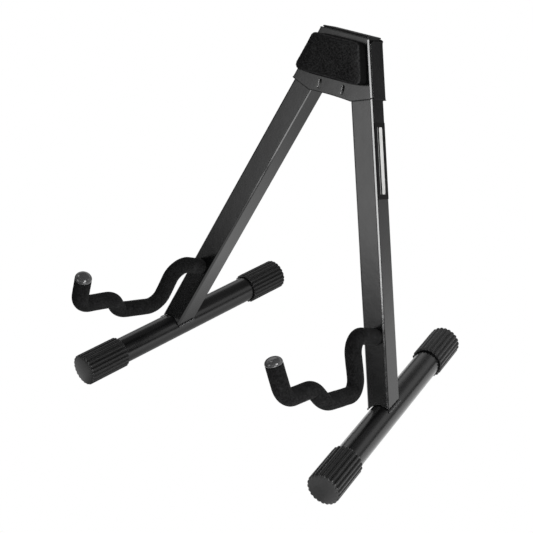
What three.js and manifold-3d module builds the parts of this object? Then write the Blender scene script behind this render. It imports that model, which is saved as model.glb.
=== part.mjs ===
// Folding A-frame guitar stand.
// Two square-tube legs hang from a pressed-steel head on pivot bolts. Each leg is coped onto a
// round cross foot with ribbed rubber end caps, and carries a bent rod in a foam sleeve.
// Millimetres, +Z up, the front of the stand faces -Y, +X is the stand's left-to-right.
// Origin: centre of the footprint, on the floor.

import * as THREE from 'three';
import * as BufferGeometryUtils from 'three/addons/utils/BufferGeometryUtils.js';
import Module from 'manifold-3d';

const wasm = await Module();
wasm.setup();

// ---------------------------------------------------------------- driving dimensions
const DEG = Math.PI / 180;
const GAP = 0.3;                 // air between solids that touch on the real stand

const LEAN = 20.607 * DEG;       // the plane of the two legs leans back
const SPREAD = 19.383 * DEG;     // each leg from the centre line, measured in that plane
const LEG_FOOT_X = 143.35;       // leg axis where it meets the foot's height
const FOOT_X = 141.8;            // foot axis beside it
const FOOT_SPLAY = 7.63 * DEG;   // feet run outwards towards the front
const Y_SHIFT = 0.92;            // centres the footprint on the origin

const LEG = { side: 25, corner: 2.5, wall: 1.5 };
const PIVOT_A = 348;             // pivot, up the leg from the foot axis
const LEG_TOP_R = 12.5;
const SADDLE_TRIM = 4.5;         // leg is trimmed this far above the foot axis

const FOOT_R = 14.45, FOOT_WALL = 1.5;
const CAP = { crest: 17.54, root: 16.45, bore: FOOT_R + GAP, length: 52, floor: 4, ribs: 22 };
const FOOT_FRONT = 134, FOOT_REAR = 162.3;   // foot centre to the outer face of each cap

const ROD_R = 5, SLEEVE_R = 8.78, SLEEVE_BORE = ROD_R + GAP;
// Bends of the yoke in the leg's own side plane: [forward of the leg axis, up the leg], bend radius
const YOKE = [
  { p: [-10.4, 80.0] },
  { p: [57.3, 90.5], r: 15.8 },
  { p: [52.3, 32.6], r: 15.5 },
  { p: [114.0, 32.6], r: 30 },
  { p: [133.8, 49.3], r: 22 },
  { p: [182.2, 46.6], r: 19 },
  { p: [195.3, 80.6] },
];
const ROD_START = -9.6;          // rod ends just inside the leg's rear wall
const YOKE_TOE = 1.0 * DEG;      // the yoke points very slightly outwards
const SLEEVE_START = 14.3;       // sleeve begins just in front of the leg
const TIP = { length: 4.2, dome: 2.4 };

const HEAD = {
  sheet: 1.3, inner: 13.9,       // sheet thickness, leg plane to the inside of each plate
  side: 14.0,                    // leg axis to the outside of the head, across the leg
  top: 366, sideFoot: 308.5, foot: 300.5, footHalf: 26, arch: 0.9,
  lipBack: 12.7, flangeFront: 11.4,
};
const PLATE_OUT = HEAD.inner + HEAD.sheet;
const SLOT = { x: 14.3, v: 309.8, width: 2.8, length: 9.4, strip: 1.1, depth: 4.2 };
const TOP_CAP = { halfX: 28.5, halfN: 13.5, corner: 4, top: 368, lip: 366.35, plugHalfX: 27.3, plugHalfN: 13.3, plugFoot: 352, wall: 2 };
const PAD = { foot: 318.2, top: 360.4, mid: 340, midHalf: 35.4, slope: -0.333, thickness: 15, corner: 6 };
const BOLT = { shank: 2.9, head: 6.4, headHeight: 2.0, dome: 0.7, nutFlats: 10, nutHeight: 5, tail: 0.8 };
const WASHER = { outer: 10, inner: 3.4, thickness: 0.8 };
const BUSH = { outer: 5, inner: 3.3 };
const LABEL = { from: 222.2, to: 299.8, width: 20.6, thickness: 0.4 };

// ---------------------------------------------------------------- materials
const steelBlack = () => new THREE.MeshStandardMaterial({ color: 0x2b2c2e, roughness: 0.45, metalness: 0.3 });
const footBlack = () => new THREE.MeshStandardMaterial({ color: 0x141415, roughness: 0.35, metalness: 0.3 });
const rubberBlack = () => new THREE.MeshStandardMaterial({ color: 0x1b1b1c, roughness: 0.8, metalness: 0.0 });
const foamBlack = () => new THREE.MeshStandardMaterial({ color: 0x151516, roughness: 0.95, metalness: 0.0 });
const plasticBlack = () => new THREE.MeshStandardMaterial({ color: 0x0d0d0e, roughness: 0.5, metalness: 0.0 });
const tipGrey = () => new THREE.MeshStandardMaterial({ color: 0x3c3c3e, roughness: 0.25, metalness: 0.0 });
const zinc = () => new THREE.MeshStandardMaterial({ color: 0x8d8f92, roughness: 0.4, metalness: 0.9 });
const nylon = () => new THREE.MeshStandardMaterial({ color: 0xd9d8d2, roughness: 0.6, metalness: 0.0 });
const labelBlack = () => new THREE.MeshStandardMaterial({ color: 0x080808, roughness: 0.4, metalness: 0.0 });

// ---------------------------------------------------------------- solids
function solid(geometry) {
  const g = geometry.clone();
  for (const k of Object.keys(g.attributes)) if (k !== 'position') g.deleteAttribute(k);
  const m = BufferGeometryUtils.mergeVertices(g, 1e-4);
  return new wasm.Manifold(new wasm.Mesh({
    numProp: 3,
    vertProperties: new Float32Array(m.attributes.position.array),
    triVerts: new Uint32Array(m.index.array),
  }));
}
function geometryOf(manifold) {
  const mesh = manifold.getMesh();
  const n = mesh.numProp, count = mesh.vertProperties.length / n;
  const pos = new Float32Array(count * 3);
  for (let i = 0; i < count; i++) for (let k = 0; k < 3; k++) pos[3 * i + k] = mesh.vertProperties[n * i + k];
  const g = new THREE.BufferGeometry();
  g.setAttribute('position', new THREE.BufferAttribute(pos, 3));
  g.setIndex(new THREE.BufferAttribute(new Uint32Array(mesh.triVerts), 1));
  return g;
}
const cut = (a, ...tools) => tools.reduce((m, t) => m.subtract(t), a);
const join = (a, ...others) => others.reduce((m, t) => m.add(t), a);

// Mirror a closed geometry in X, keeping its faces pointing out
function mirrored(geometry) {
  const g = geometry.index ? geometry.toNonIndexed() : geometry.clone();
  const p = g.attributes.position;
  for (let i = 0; i < p.count; i += 3) {
    const a = [p.getX(i), p.getY(i), p.getZ(i)], b = [p.getX(i + 1), p.getY(i + 1), p.getZ(i + 1)], c = [p.getX(i + 2), p.getY(i + 2), p.getZ(i + 2)];
    p.setXYZ(i, -a[0], a[1], a[2]);
    p.setXYZ(i + 1, -c[0], c[1], c[2]);
    p.setXYZ(i + 2, -b[0], b[1], b[2]);
  }
  for (const k of Object.keys(g.attributes)) if (k !== 'position') g.deleteAttribute(k);
  return g;
}

// Rectangle with rounded corners, centred
function roundedRect(w, h, r, steps = 3) {
  const s = new THREE.Shape();
  const pts = [];
  for (const [cx, cy, a0] of [[w / 2 - r, h / 2 - r, 0], [-w / 2 + r, h / 2 - r, 90], [-w / 2 + r, -h / 2 + r, 180], [w / 2 - r, -h / 2 + r, 270]]) {
    for (let i = 0; i <= steps; i++) {
      const a = (a0 + 90 * i / steps) * DEG;
      pts.push(new THREE.Vector2(cx + r * Math.cos(a), cy + r * Math.sin(a)));
    }
  }
  s.setFromPoints(pts);
  return s;
}
function polygon(points) { return new THREE.Shape(points.map(([x, y]) => new THREE.Vector2(x, y))); }

// Closed polygon with each corner rounded to its own radius
function roundedPolygon(points, radii, steps = 4) {
  const out = [], n = points.length;
  for (let i = 0; i < n; i++) {
    const p = new THREE.Vector2(...points[i]);
    const a = new THREE.Vector2(...points[(i + n - 1) % n]).sub(p).normalize();
    const b = new THREE.Vector2(...points[(i + 1) % n]).sub(p).normalize();
    const r = radii[i];
    if (!r) { out.push(p); continue; }
    const half = Math.acos(THREE.MathUtils.clamp(a.dot(b), -1, 1)) / 2;
    const t = r / Math.tan(half);
    const c = p.clone().add(a.clone().add(b).normalize().multiplyScalar(r / Math.sin(half)));
    const s = p.clone().addScaledVector(a, t).sub(c), e = p.clone().addScaledVector(b, t).sub(c);
    const a0 = Math.atan2(s.y, s.x);
    let da = Math.atan2(e.y, e.x) - a0;
    while (da > Math.PI) da -= 2 * Math.PI;
    while (da < -Math.PI) da += 2 * Math.PI;
    for (let k = 0; k <= steps; k++) out.push(new THREE.Vector2(c.x + r * Math.cos(a0 + da * k / steps), c.y + r * Math.sin(a0 + da * k / steps)));
  }
  return new THREE.Shape(out);
}

// Shape drawn in X and Z, thickness from y0 to y1 (y1 > y0)
function plateXZ(shape, y0, y1, curveSegments = 12) {
  const g = new THREE.ExtrudeGeometry(shape, { depth: y1 - y0, bevelEnabled: false, curveSegments });
  g.rotateX(Math.PI / 2);          // shape Y becomes Z, depth runs along -Y
  g.translate(0, y1, 0);
  return g;
}
const prismZ = (shape, z0, z1, curveSegments = 12) => {
  const g = new THREE.ExtrudeGeometry(shape, { depth: z1 - z0, bevelEnabled: false, curveSegments });
  g.translate(0, 0, z0);
  return g;
};
const rodY = (r, y0, y1, x, z, segments = 20) => {
  const g = new THREE.CylinderGeometry(r, r, y1 - y0, segments);
  g.translate(x, (y0 + y1) / 2, z);
  return g;
};
// Ring or turned part about Y from a closed [radius, y] profile
function turnedY(profile, segments = 20) {
  return new THREE.LatheGeometry(profile.map(([r, y]) => new THREE.Vector2(r, y)), segments);
}
function ringY(rIn, rOut, y0, y1, segments = 20) {
  return turnedY([[rIn, y0], [rOut, y0], [rOut, y1], [rIn, y1], [rIn, y0]], segments);
}

// ---------------------------------------------------------------- yoke centre line
// Straight runs and circular bends of a rod bent in one plane, as stations with their directions
class BentRod extends THREE.Curve {
  constructor(vertices, fromY, endTrim = 0, bendStep = 16 * DEG) {
    super();
    const pts = [], dirs = [];
    const V = vertices.map((q) => new THREE.Vector2(...q.p));
    const first = V[1].clone().sub(V[0]).normalize();
    const start = V[0].clone().addScaledVector(first, (fromY - V[0].x) / first.x);
    pts.push(start); dirs.push(first);
    for (let i = 1; i < V.length - 1; i++) {
      const d0 = V[i].clone().sub(V[i - 1]).normalize(), d1 = V[i + 1].clone().sub(V[i]).normalize();
      const turn = Math.atan2(d0.x * d1.y - d0.y * d1.x, d0.dot(d1));
      const r = vertices[i].r, t = r * Math.tan(Math.abs(turn) / 2), side = Math.sign(turn);
      const s = V[i].clone().addScaledVector(d0, -t);
      const c = s.clone().add(new THREE.Vector2(-d0.y, d0.x).multiplyScalar(side * r));
      const steps = Math.max(2, Math.round(Math.abs(turn) / bendStep));
      for (let k = 0; k <= steps; k++) {
        const a = turn * k / steps;
        const d = d0.clone().rotateAround(new THREE.Vector2(), a);
        pts.push(c.clone().add(new THREE.Vector2(d.y, -d.x).multiplyScalar(side * r)));
        dirs.push(d);
      }
    }
    const last = V[V.length - 1].clone().sub(V[V.length - 2]).normalize();
    pts.push(V[V.length - 1].clone().addScaledVector(last, -endTrim)); dirs.push(last);
    // forward of the leg is -Y, up the leg is +Z; the toe angle is laid off from the leg's front face
    const k = Math.tan(YOKE_TOE);
    this.stations = pts.map((q) => new THREE.Vector3(k * Math.max(0, q.x - 12), -q.x, q.y));
    this.directions = dirs.map((d) => new THREE.Vector3(k * d.x, -d.x, d.y).normalize());
    this.count = this.stations.length - 1;
  }
  getPoint(t, target = new THREE.Vector3()) {
    const f = t * this.count, i = Math.min(this.count - 1, Math.floor(f));
    return target.copy(this.stations[i]).lerp(this.stations[i + 1], f - i);
  }
  getSpacedPoints() { return this.stations.map((v) => v.clone()); }
  getTangentAt(u, target = new THREE.Vector3()) { return target.copy(this.directions[Math.round(u * this.count)]); }
  get end() { return { point: this.stations[this.count], direction: this.directions[this.count] }; }
}
function circle(r, segments) {
  const pts = [];
  for (let i = 0; i < segments; i++) pts.push(new THREE.Vector2(r * Math.cos(2 * Math.PI * i / segments), r * Math.sin(2 * Math.PI * i / segments)));
  return pts;
}
function sweep(curve, rOut, rIn, outSegments, inSegments) {
  const s = new THREE.Shape(circle(rOut, outSegments));
  if (rIn) s.holes.push(new THREE.Path(circle(rIn, inSegments).reverse()));
  return new THREE.ExtrudeGeometry(s, { steps: curve.count, extrudePath: curve, bevelEnabled: false });
}

// ---------------------------------------------------------------- frames
const group = new THREE.Group();
const lean = new THREE.Group();            // the plane of the legs and head, origin at foot-axis height
lean.position.set(0, Y_SHIFT, CAP.crest);
lean.rotation.x = -LEAN;
group.add(lean);

function node(parent, name, geometry, material, { at = null, turn = null } = {}) {
  const g = geometry.index ? geometry.toNonIndexed() : geometry.clone();
  for (const k of Object.keys(g.attributes)) if (k !== 'position') g.deleteAttribute(k);
  g.computeVertexNormals();
  const mesh = new THREE.Mesh(g, material);
  mesh.name = name;
  if (at) mesh.position.set(...at);
  if (turn) mesh.quaternion.copy(turn);
  parent.add(mesh);
  return mesh;
}

// ---------------------------------------------------------------- head
const pivotX = LEG_FOOT_X - PIVOT_A * Math.sin(SPREAD);
const pivotV = PIVOT_A * Math.cos(SPREAD);
// outside of the head at height v, across the leg by `off` from its axis
const sideX = (v, off = HEAD.side) => LEG_FOOT_X - v * Math.tan(SPREAD) + off / Math.cos(SPREAD);

// Outline shared by both plates: sides along the legs, bevelled lower corners, slightly arched foot
function plateOutline(topCorner) {
  const pts = [
    [sideX(HEAD.top), HEAD.top], [-sideX(HEAD.top), HEAD.top],
    [-sideX(HEAD.sideFoot), HEAD.sideFoot], [-HEAD.footHalf, HEAD.foot],
    [-HEAD.footHalf / 2, HEAD.foot + HEAD.arch * 0.75], [0, HEAD.foot + HEAD.arch], [HEAD.footHalf / 2, HEAD.foot + HEAD.arch * 0.75],
    [HEAD.footHalf, HEAD.foot], [sideX(HEAD.sideFoot), HEAD.sideFoot],
  ];
  return roundedPolygon(pts, [topCorner, topCorner, 0.8, 3, 0, 0, 0, 3, 0.8], 4);
}
// Side wall between two depths, along the outside of one leg
function sideWall(side, y0, y1, v0, v1, off = HEAD.side, thickness = HEAD.sheet - 0.1) {
  const s = polygon([
    [sideX(v0, off), v0], [sideX(v1, off), v1], [sideX(v1, off - thickness), v1], [sideX(v0, off - thickness), v0],
  ].map(([x, v]) => [side * x, v]));
  return plateXZ(s, y0, y1);
}
const holes = [-1, 1].map((s) => solid(rodY(BOLT.shank + 0.35, -40, 40, s * pivotX, pivotV, 20)));

// Front plate: lips down both sides, and two lanced strips that the closed legs rest against
{
  let m = join(solid(plateXZ(plateOutline(1.2), -PLATE_OUT, -HEAD.inner)),
    solid(sideWall(1, -PLATE_OUT + 0.2, -HEAD.lipBack, HEAD.sideFoot + 0.6, HEAD.top - 1.4)),
    solid(sideWall(-1, -PLATE_OUT + 0.2, -HEAD.lipBack, HEAD.sideFoot + 0.6, HEAD.top - 1.4)));
  m = cut(m, ...holes);
  for (const s of [-1, 1]) {
    const slot = roundedPolygon([[-SLOT.width / 2, -SLOT.length / 2], [SLOT.width / 2, -SLOT.length / 2], [SLOT.width / 2, SLOT.length / 2], [-SLOT.width / 2, SLOT.length / 2]], [1.2, 1.2, 1.2, 1.2], 3);
    const hole = plateXZ(slot, -PLATE_OUT - 1, -HEAD.inner + 1);
    hole.translate(s * SLOT.x, 0, SLOT.v);
    m = cut(m, solid(hole));
    // strip: an arch pressed inwards, still joined to the plate at both ends
    const arch = [], back = [], N = 8, reach = SLOT.length / 2 + 0.6;
    for (let i = 0; i <= N; i++) {
      const t = -1 + 2 * i / N, y = -PLATE_OUT + 0.1 + SLOT.depth * (1 - t * t);
      arch.push([y, reach * t]); back.unshift([y + 1.15, reach * t * 0.985]);
    }
    const strip = new THREE.ExtrudeGeometry(polygon([...arch, ...back]), { depth: SLOT.strip, bevelEnabled: false });
    // drawn in (Y, Z): shape X -> Y, shape Y -> Z, depth -> X
    strip.applyMatrix4(new THREE.Matrix4().makeBasis(new THREE.Vector3(0, 1, 0), new THREE.Vector3(0, 0, 1), new THREE.Vector3(1, 0, 0)));
    strip.translate(s * SLOT.x - SLOT.strip / 2, 0, SLOT.v);
    m = join(m, solid(strip));
  }
  node(lean, 'head_front_plate', geometryOf(m), steelBlack());
}
// Rear channel: plate with two flanges that wrap the outside of the legs and stop them when open
{
  const m = cut(join(solid(plateXZ(plateOutline(3.2), HEAD.inner, PLATE_OUT)),
    solid(sideWall(1, -HEAD.flangeFront, PLATE_OUT - 0.2, HEAD.sideFoot + 0.1, HEAD.top - 2.6)),
    solid(sideWall(-1, -HEAD.flangeFront, PLATE_OUT - 0.2, HEAD.sideFoot + 0.1, HEAD.top - 2.6))), ...holes);
  node(lean, 'head_rear_channel', geometryOf(m), steelBlack());
}
// Top cap: a hollow plug with a thin lip, closing the gap between the plates
{
  const C = TOP_CAP;
  const m = cut(join(
    solid(prismZ(roundedRect(2 * C.halfX, 2 * C.halfN, C.corner, 4), C.lip, C.top)),
    solid(prismZ(roundedRect(2 * C.plugHalfX, 2 * C.plugHalfN, 2, 2), C.plugFoot, C.lip + 0.2))),
  solid(prismZ(roundedRect(2 * (C.plugHalfX - C.wall), 2 * (C.plugHalfN - C.wall), 1, 2), C.plugFoot - 1, C.lip - 0.6)));
  node(lean, 'head_top_cap', geometryOf(m), plasticBlack());
}
// Foam back rest, with pockets over the bolt heads
{
  const half = (v) => PAD.midHalf + PAD.slope * (v - PAD.mid);
  const s = roundedPolygon([[half(PAD.top), PAD.top], [-half(PAD.top), PAD.top], [-half(PAD.foot), PAD.foot], [half(PAD.foot), PAD.foot]],
    [PAD.corner, PAD.corner, PAD.corner, PAD.corner], 4);
  const y0 = -PLATE_OUT - GAP;
  const pockets = [-1, 1].map((k) => solid(rodY(BOLT.head + 0.5, y0 - BOLT.headHeight - BOLT.dome - 0.5, y0 + 2, k * pivotX, pivotV, 16)));
  const m = cut(solid(plateXZ(s, y0 - PAD.thickness, y0)), ...pockets);
  node(lean, 'foam_pad', geometryOf(m), foamBlack());
}
// Pivots
for (const [word, s] of [['left', -1], ['right', 1]]) {
  const yHead = -PLATE_OUT - GAP, yNut = PLATE_OUT + GAP, B = BOLT;
  const yTail = yNut + B.nutHeight + B.tail;
  node(lean, `${word}_pivot_bolt`, turnedY([
    [0, yTail], [B.shank - 0.5, yTail], [B.shank, yTail - 0.5], [B.shank, yHead], [B.head, yHead],
    [B.head, yHead - B.headHeight + 0.6], [B.head * 0.62, yHead - B.headHeight - B.dome + 0.25], [0, yHead - B.headHeight - B.dome],
  ].reverse(), 20), zinc(), { at: [s * pivotX, 0, pivotV] });
  const hex = new THREE.Shape(circle(B.nutFlats / 2 / Math.cos(30 * DEG), 6));
  hex.holes.push(new THREE.Path(circle(B.shank + 0.35, 20).reverse()));
  node(lean, `${word}_pivot_nut`, plateXZ(hex, yNut, yNut + B.nutHeight), zinc(), { at: [s * pivotX, 0, pivotV] });
  const W = WASHER, w0 = LEG.side / 2 + GAP;
  node(lean, `${word}_washer_front`, ringY(W.inner, W.outer, -w0 - W.thickness, -w0, 24), nylon(), { at: [s * pivotX, 0, pivotV] });
  node(lean, `${word}_washer_rear`, ringY(W.inner, W.outer, w0, w0 + W.thickness, 24), nylon(), { at: [s * pivotX, 0, pivotV] });
}

// ---------------------------------------------------------------- right leg, in its own frame
// Leg frame: origin on the leg axis at foot-axis height, X across the leg (outwards), -Y forwards, Z up the leg
function legFrame(side) {
  const g = new THREE.Group();
  g.position.set(side * LEG_FOOT_X, 0, 0);
  g.rotation.y = -side * SPREAD;
  lean.add(g);
  return g;
}
function footFrame(side) {
  const g = new THREE.Group();
  g.position.set(side * FOOT_X, Y_SHIFT, CAP.crest);
  g.rotation.z = side * FOOT_SPLAY;
  group.add(g);
  return g;
}
const legs = { right: legFrame(1), left: legFrame(-1) };
const feet = { right: footFrame(1), left: footFrame(-1) };
group.updateMatrixWorld(true);
const worldToLeg = legs.right.matrixWorld.clone().invert();
const footToLeg = worldToLeg.clone().multiply(feet.right.matrixWorld);

const rodCurve = new BentRod(YOKE, ROD_START, -3.2);
const sleeveCurve = new BentRod(YOKE, SLEEVE_START, 0);

function legTube() {
  const S = LEG.side / 2;
  const outer = solid(prismZ(roundedRect(LEG.side, LEG.side, LEG.corner, 3), -30, PIVOT_A + LEG_TOP_R + 5));
  const inner = solid(prismZ(roundedRect(LEG.side - 2 * LEG.wall, LEG.side - 2 * LEG.wall, LEG.corner - LEG.wall + 0.3, 2), -40, PIVOT_A + LEG_TOP_R + 10));
  // front view of the leg: straight sides and a round top about the pivot
  const n = 12;
  const profile = [[-S - 1, -30], [S + 1, -30], [S + 1, PIVOT_A]];
  for (let i = 0; i <= n; i++) profile.push([LEG_TOP_R * Math.cos(Math.PI * i / n), PIVOT_A + LEG_TOP_R * Math.sin(Math.PI * i / n)]);
  profile.push([-S - 1, PIVOT_A]);
  const rounded = solid(plateXZ(polygon(profile), -S - 2, S + 2));
  // saddle for the foot tube, and nothing lower than a little above the foot's axis
  const saddle = new THREE.CylinderGeometry(FOOT_R + GAP, FOOT_R + GAP, 160, 40);
  saddle.applyMatrix4(footToLeg);
  const below = new THREE.BoxGeometry(200, 200, 100);
  below.translate(0, 0, -50 + SADDLE_TRIM);
  below.applyMatrix4(footToLeg);
  const bush = solid(rodY(BUSH.outer + GAP, -S - 3, S + 3, 0, PIVOT_A, 20));
  // hole for the yoke rod through the front wall only
  const d = new THREE.Vector3(0, -(YOKE[1].p[0] - YOKE[0].p[0]), YOKE[1].p[1] - YOKE[0].p[1]).normalize();
  const hole = new THREE.CylinderGeometry(ROD_R + GAP, ROD_R + GAP, 16, 20);
  hole.applyQuaternion(new THREE.Quaternion().setFromUnitVectors(new THREE.Vector3(0, 1, 0), d));
  const at = new THREE.Vector3(0, -YOKE[0].p[0], YOKE[0].p[1]).addScaledVector(d, 22.6);
  hole.translate(at.x, at.y, at.z);
  return geometryOf(cut(outer.intersect(rounded), inner, solid(saddle), solid(below), bush, solid(hole)));
}

function footCap() {
  // ribbed section, crest flats on the circle of the foot's height, one rib straight down
  const pts = [];
  const step = 2 * Math.PI / CAP.ribs;
  for (let i = 0; i < CAP.ribs; i++) {
    const a = -Math.PI / 2 + i * step;
    const wide = 0.27 * step, narrow = 0.20 * step;
    const rc = CAP.crest / Math.cos(wide);
    pts.push([rc, a - wide], [rc, a + wide], [CAP.root, a + step / 2 - narrow], [CAP.root, a + step / 2 + narrow]);
  }
  const shape = new THREE.Shape(pts.map(([r, a]) => new THREE.Vector2(r * Math.cos(a), r * Math.sin(a))));
  const L = CAP.length;
  const body = solid(prismZ(shape, 0, L + 2));
  // outside envelope: slight lead-in at the open end, rounded shoulder and shallow dome at the closed end
  const env = new THREE.LatheGeometry([[0, 0], [17.3, 0], [18.2, 0.9], [18.2, L - 2.6], [17.3, L - 1.1], [15.6, L - 0.3], [9, L], [0, L]].map(([r, y]) => new THREE.Vector2(r, y)), 44);
  env.rotateX(Math.PI / 2);
  const bore = prismZ(new THREE.Shape(circle(CAP.bore, 28)), -1, L - CAP.floor);
  return cut(body.intersect(solid(env)), solid(bore));
}
function footTube() {
  // along Y, front end towards -Y
  const s = new THREE.Shape(circle(FOOT_R, 28));
  s.holes.push(new THREE.Path(circle(FOOT_R - FOOT_WALL, 24).reverse()));
  return plateXZ(s, -(FOOT_FRONT - CAP.floor - GAP), FOOT_REAR - CAP.floor - GAP);
}
function yokeTip() {
  // blind cap on the end of the rod, drawn up +Y and turned onto the rod's end
  const e = rodCurve.end, z0 = 0;
  const g = turnedY([
    [ROD_R + GAP, z0], [SLEEVE_R - 0.5, z0], [SLEEVE_R, z0 + 0.5], [SLEEVE_R, z0 + TIP.length - 1.4],
    [SLEEVE_R - 1.0, z0 + TIP.length], [SLEEVE_R * 0.62, z0 + TIP.length + TIP.dome * 0.62], [0, z0 + TIP.length + TIP.dome],
    [0, z0 + TIP.length - 0.5], [ROD_R + GAP, z0 + TIP.length - 0.5], [ROD_R + GAP, z0],
  ], 24);
  g.applyQuaternion(new THREE.Quaternion().setFromUnitVectors(new THREE.Vector3(0, 1, 0), e.direction));
  const s = sleeveCurve.end, p = s.point.clone().addScaledVector(s.direction, GAP);
  g.translate(p.x, p.y, p.z);
  return g;
}

const capSolid = geometryOf(footCap());
const capFront = capSolid.clone();           // closed end towards -Y
capFront.rotateX(Math.PI / 2);               // +Z -> -Y
capFront.translate(0, -(FOOT_FRONT - CAP.length), 0);
const capRear = capSolid.clone();
capRear.rotateZ(Math.PI);
capRear.rotateX(-Math.PI / 2);               // +Z -> +Y
capRear.translate(0, FOOT_REAR - CAP.length, 0);

const legParts = {
  leg_tube: [legTube(), steelBlack],
  pivot_bush: [(() => { const g = ringY(BUSH.inner, BUSH.outer, -LEG.side / 2, LEG.side / 2, 20); g.translate(0, 0, PIVOT_A); return g; })(), nylon],
  yoke_rod: [sweep(rodCurve, ROD_R, 0, 8, 0), steelBlack],
  yoke_sleeve: [sweep(sleeveCurve, SLEEVE_R, SLEEVE_BORE, 14, 8), foamBlack],
  yoke_tip: [yokeTip(), tipGrey],
};
const footParts = {
  foot_tube: [footTube(), footBlack],
  foot_cap_front: [capFront, rubberBlack],
  foot_cap_rear: [capRear, rubberBlack],
};
for (const side of ['left', 'right']) {
  const place = (g) => (side === 'right' ? g : mirrored(g));
  for (const [name, [g, mat]] of Object.entries(legParts)) node(legs[side], `${side}_${name}`, place(g), mat());
  for (const [name, [g, mat]] of Object.entries(footParts)) node(feet[side], `${side}_${name}`, place(g), mat());
}
// Blank label on the outer face of the right leg
{
  const x0 = LEG.side / 2 + GAP;
  const g = new THREE.BoxGeometry(LABEL.thickness, LABEL.width, LABEL.to - LABEL.from);
  g.translate(x0 + LABEL.thickness / 2, 0, (LABEL.from + LABEL.to) / 2);
  node(legs.right, 'leg_label', g, labelBlack());
}

export default group;
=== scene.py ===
"""Looks of the folding A-frame guitar stand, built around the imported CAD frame. Metres, +Z up, front towards -Y."""
import math

import bmesh
import bpy
import numpy as np
from mathutils import Matrix, Vector
from mathutils import noise as mnoise


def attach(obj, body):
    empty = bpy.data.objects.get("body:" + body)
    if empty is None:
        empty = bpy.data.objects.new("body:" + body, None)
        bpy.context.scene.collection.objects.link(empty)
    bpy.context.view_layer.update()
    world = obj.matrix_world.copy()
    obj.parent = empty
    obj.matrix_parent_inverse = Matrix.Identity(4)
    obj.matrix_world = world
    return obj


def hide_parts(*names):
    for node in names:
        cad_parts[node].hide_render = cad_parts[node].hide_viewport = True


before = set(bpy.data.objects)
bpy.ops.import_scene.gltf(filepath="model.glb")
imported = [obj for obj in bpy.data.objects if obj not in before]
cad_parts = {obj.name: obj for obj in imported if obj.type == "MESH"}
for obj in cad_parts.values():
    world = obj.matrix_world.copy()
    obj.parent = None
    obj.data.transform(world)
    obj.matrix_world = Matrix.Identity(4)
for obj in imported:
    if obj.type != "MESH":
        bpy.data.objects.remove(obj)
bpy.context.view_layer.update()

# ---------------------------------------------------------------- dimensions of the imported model, mm
LEAN, SPREAD, SPLAY = math.radians(20.607), math.radians(19.383), math.radians(7.63)
Y0, CREST, ROOT = 0.92, 17.54, 16.45
LEG_X, FOOT_X = 143.35, 141.8
SIDE, CORNER, WALL = 25.0, 2.5, 1.5
PIVOT_A = 348.0
FOOT_R = 14.45
CAP_L, RIBS = 52.0, 22
FOOT_FRONT, FOOT_REAR = 134.0, 162.3
SLEEVE_R = 8.78
YOKE = [((-10.4, 80.0), 0), ((57.3, 90.5), 15.8), ((52.3, 32.6), 15.5), ((114.0, 32.6), 30.0), ((133.8, 49.3), 22.0), ((182.2, 46.6), 19.0), ((195.3, 80.6), 0)]
TOE = math.tan(math.radians(1.0))
PLATE_OUT, SHEET = 15.2, 1.3
PIVOT_X = LEG_X - PIVOT_A * math.sin(SPREAD)
PIVOT_V = PIVOT_A * math.cos(SPREAD)
cL, sL, cS, sS = math.cos(LEAN), math.sin(LEAN), math.cos(SPREAD), math.sin(SPREAD)


# ---------------------------------------------------------------- frames: local mm -> row frame mm
def from_lean(p):
    p = np.asarray(p, float)
    return np.column_stack([p[:, 0], Y0 + p[:, 1] * cL + p[:, 2] * sL, CREST - p[:, 1] * sL + p[:, 2] * cL])


def from_leg(p):
    """(u across the leg outwards, y backwards, a up the leg) of the right leg."""
    p = np.asarray(p, float)
    return from_lean(np.column_stack([LEG_X + p[:, 0] * cS - p[:, 2] * sS, p[:, 1], p[:, 0] * sS + p[:, 2] * cS]))


def from_foot(p):
    p = np.asarray(p, float)
    c, s = math.cos(SPLAY), math.sin(SPLAY)
    return np.column_stack([FOOT_X + p[:, 0] * c - p[:, 1] * s, Y0 + p[:, 0] * s + p[:, 1] * c, CREST + p[:, 2]])


# ---------------------------------------------------------------- mesh helpers
def build(name, verts_mm, faces, material, body, replaces=(), mirror=False, uv=None, wear_and_highlight=None, sharp=None, smooth=True, flat=False):
    """One piece from row-frame millimetres. mirror puts it on the left; uv and wear are per vertex."""
    v = np.asarray(verts_mm, float) * 0.001
    f = [list(q) for q in faces]
    if mirror:
        v = v * np.array([-1.0, 1.0, 1.0])
        f = [q[::-1] for q in f]
    me = bpy.data.meshes.new(name)
    me.from_pydata(v.tolist(), [], f)
    me.validate()
    ob = bpy.data.objects.new(name, me)
    bpy.context.scene.collection.objects.link(ob)
    a = me.attributes.new("wear_and_highlight", "FLOAT", "POINT")
    w = np.zeros(len(me.vertices), np.float32) if wear_and_highlight is None else np.asarray(wear_and_highlight, np.float32)
    a.data.foreach_set("value", w)
    layer = me.uv_layers.new(name="UVMap")
    idx = np.zeros(len(me.loops), np.int32)
    me.loops.foreach_get("vertex_index", idx)
    if uv is None:
        uvv = np.column_stack([v[:, 0] + v[:, 1] * 0.37, v[:, 2] + v[:, 1] * 0.61])
    else:
        uvv = np.asarray(uv, float) * 0.001
    layer.data.foreach_set("uv", uvv[idx].astype(np.float32).ravel())
    bm = bmesh.new()
    bm.from_mesh(me)
    bmesh.ops.recalc_face_normals(bm, faces=bm.faces)
    bm.to_mesh(me)
    bm.free()
    if smooth:
        me.polygons.foreach_set("use_smooth", [True] * len(me.polygons))
        if sharp is not None:
            me.set_sharp_from_angle(angle=math.radians(sharp))
        if flat:
            wn = ob.modifiers.new("flat_faces", "WEIGHTED_NORMAL")
            wn.keep_sharp = True
            wn.weight = 55
    me.materials.append(material)
    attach(ob, body)
    if replaces:
        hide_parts(*replaces)
    return ob


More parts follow.
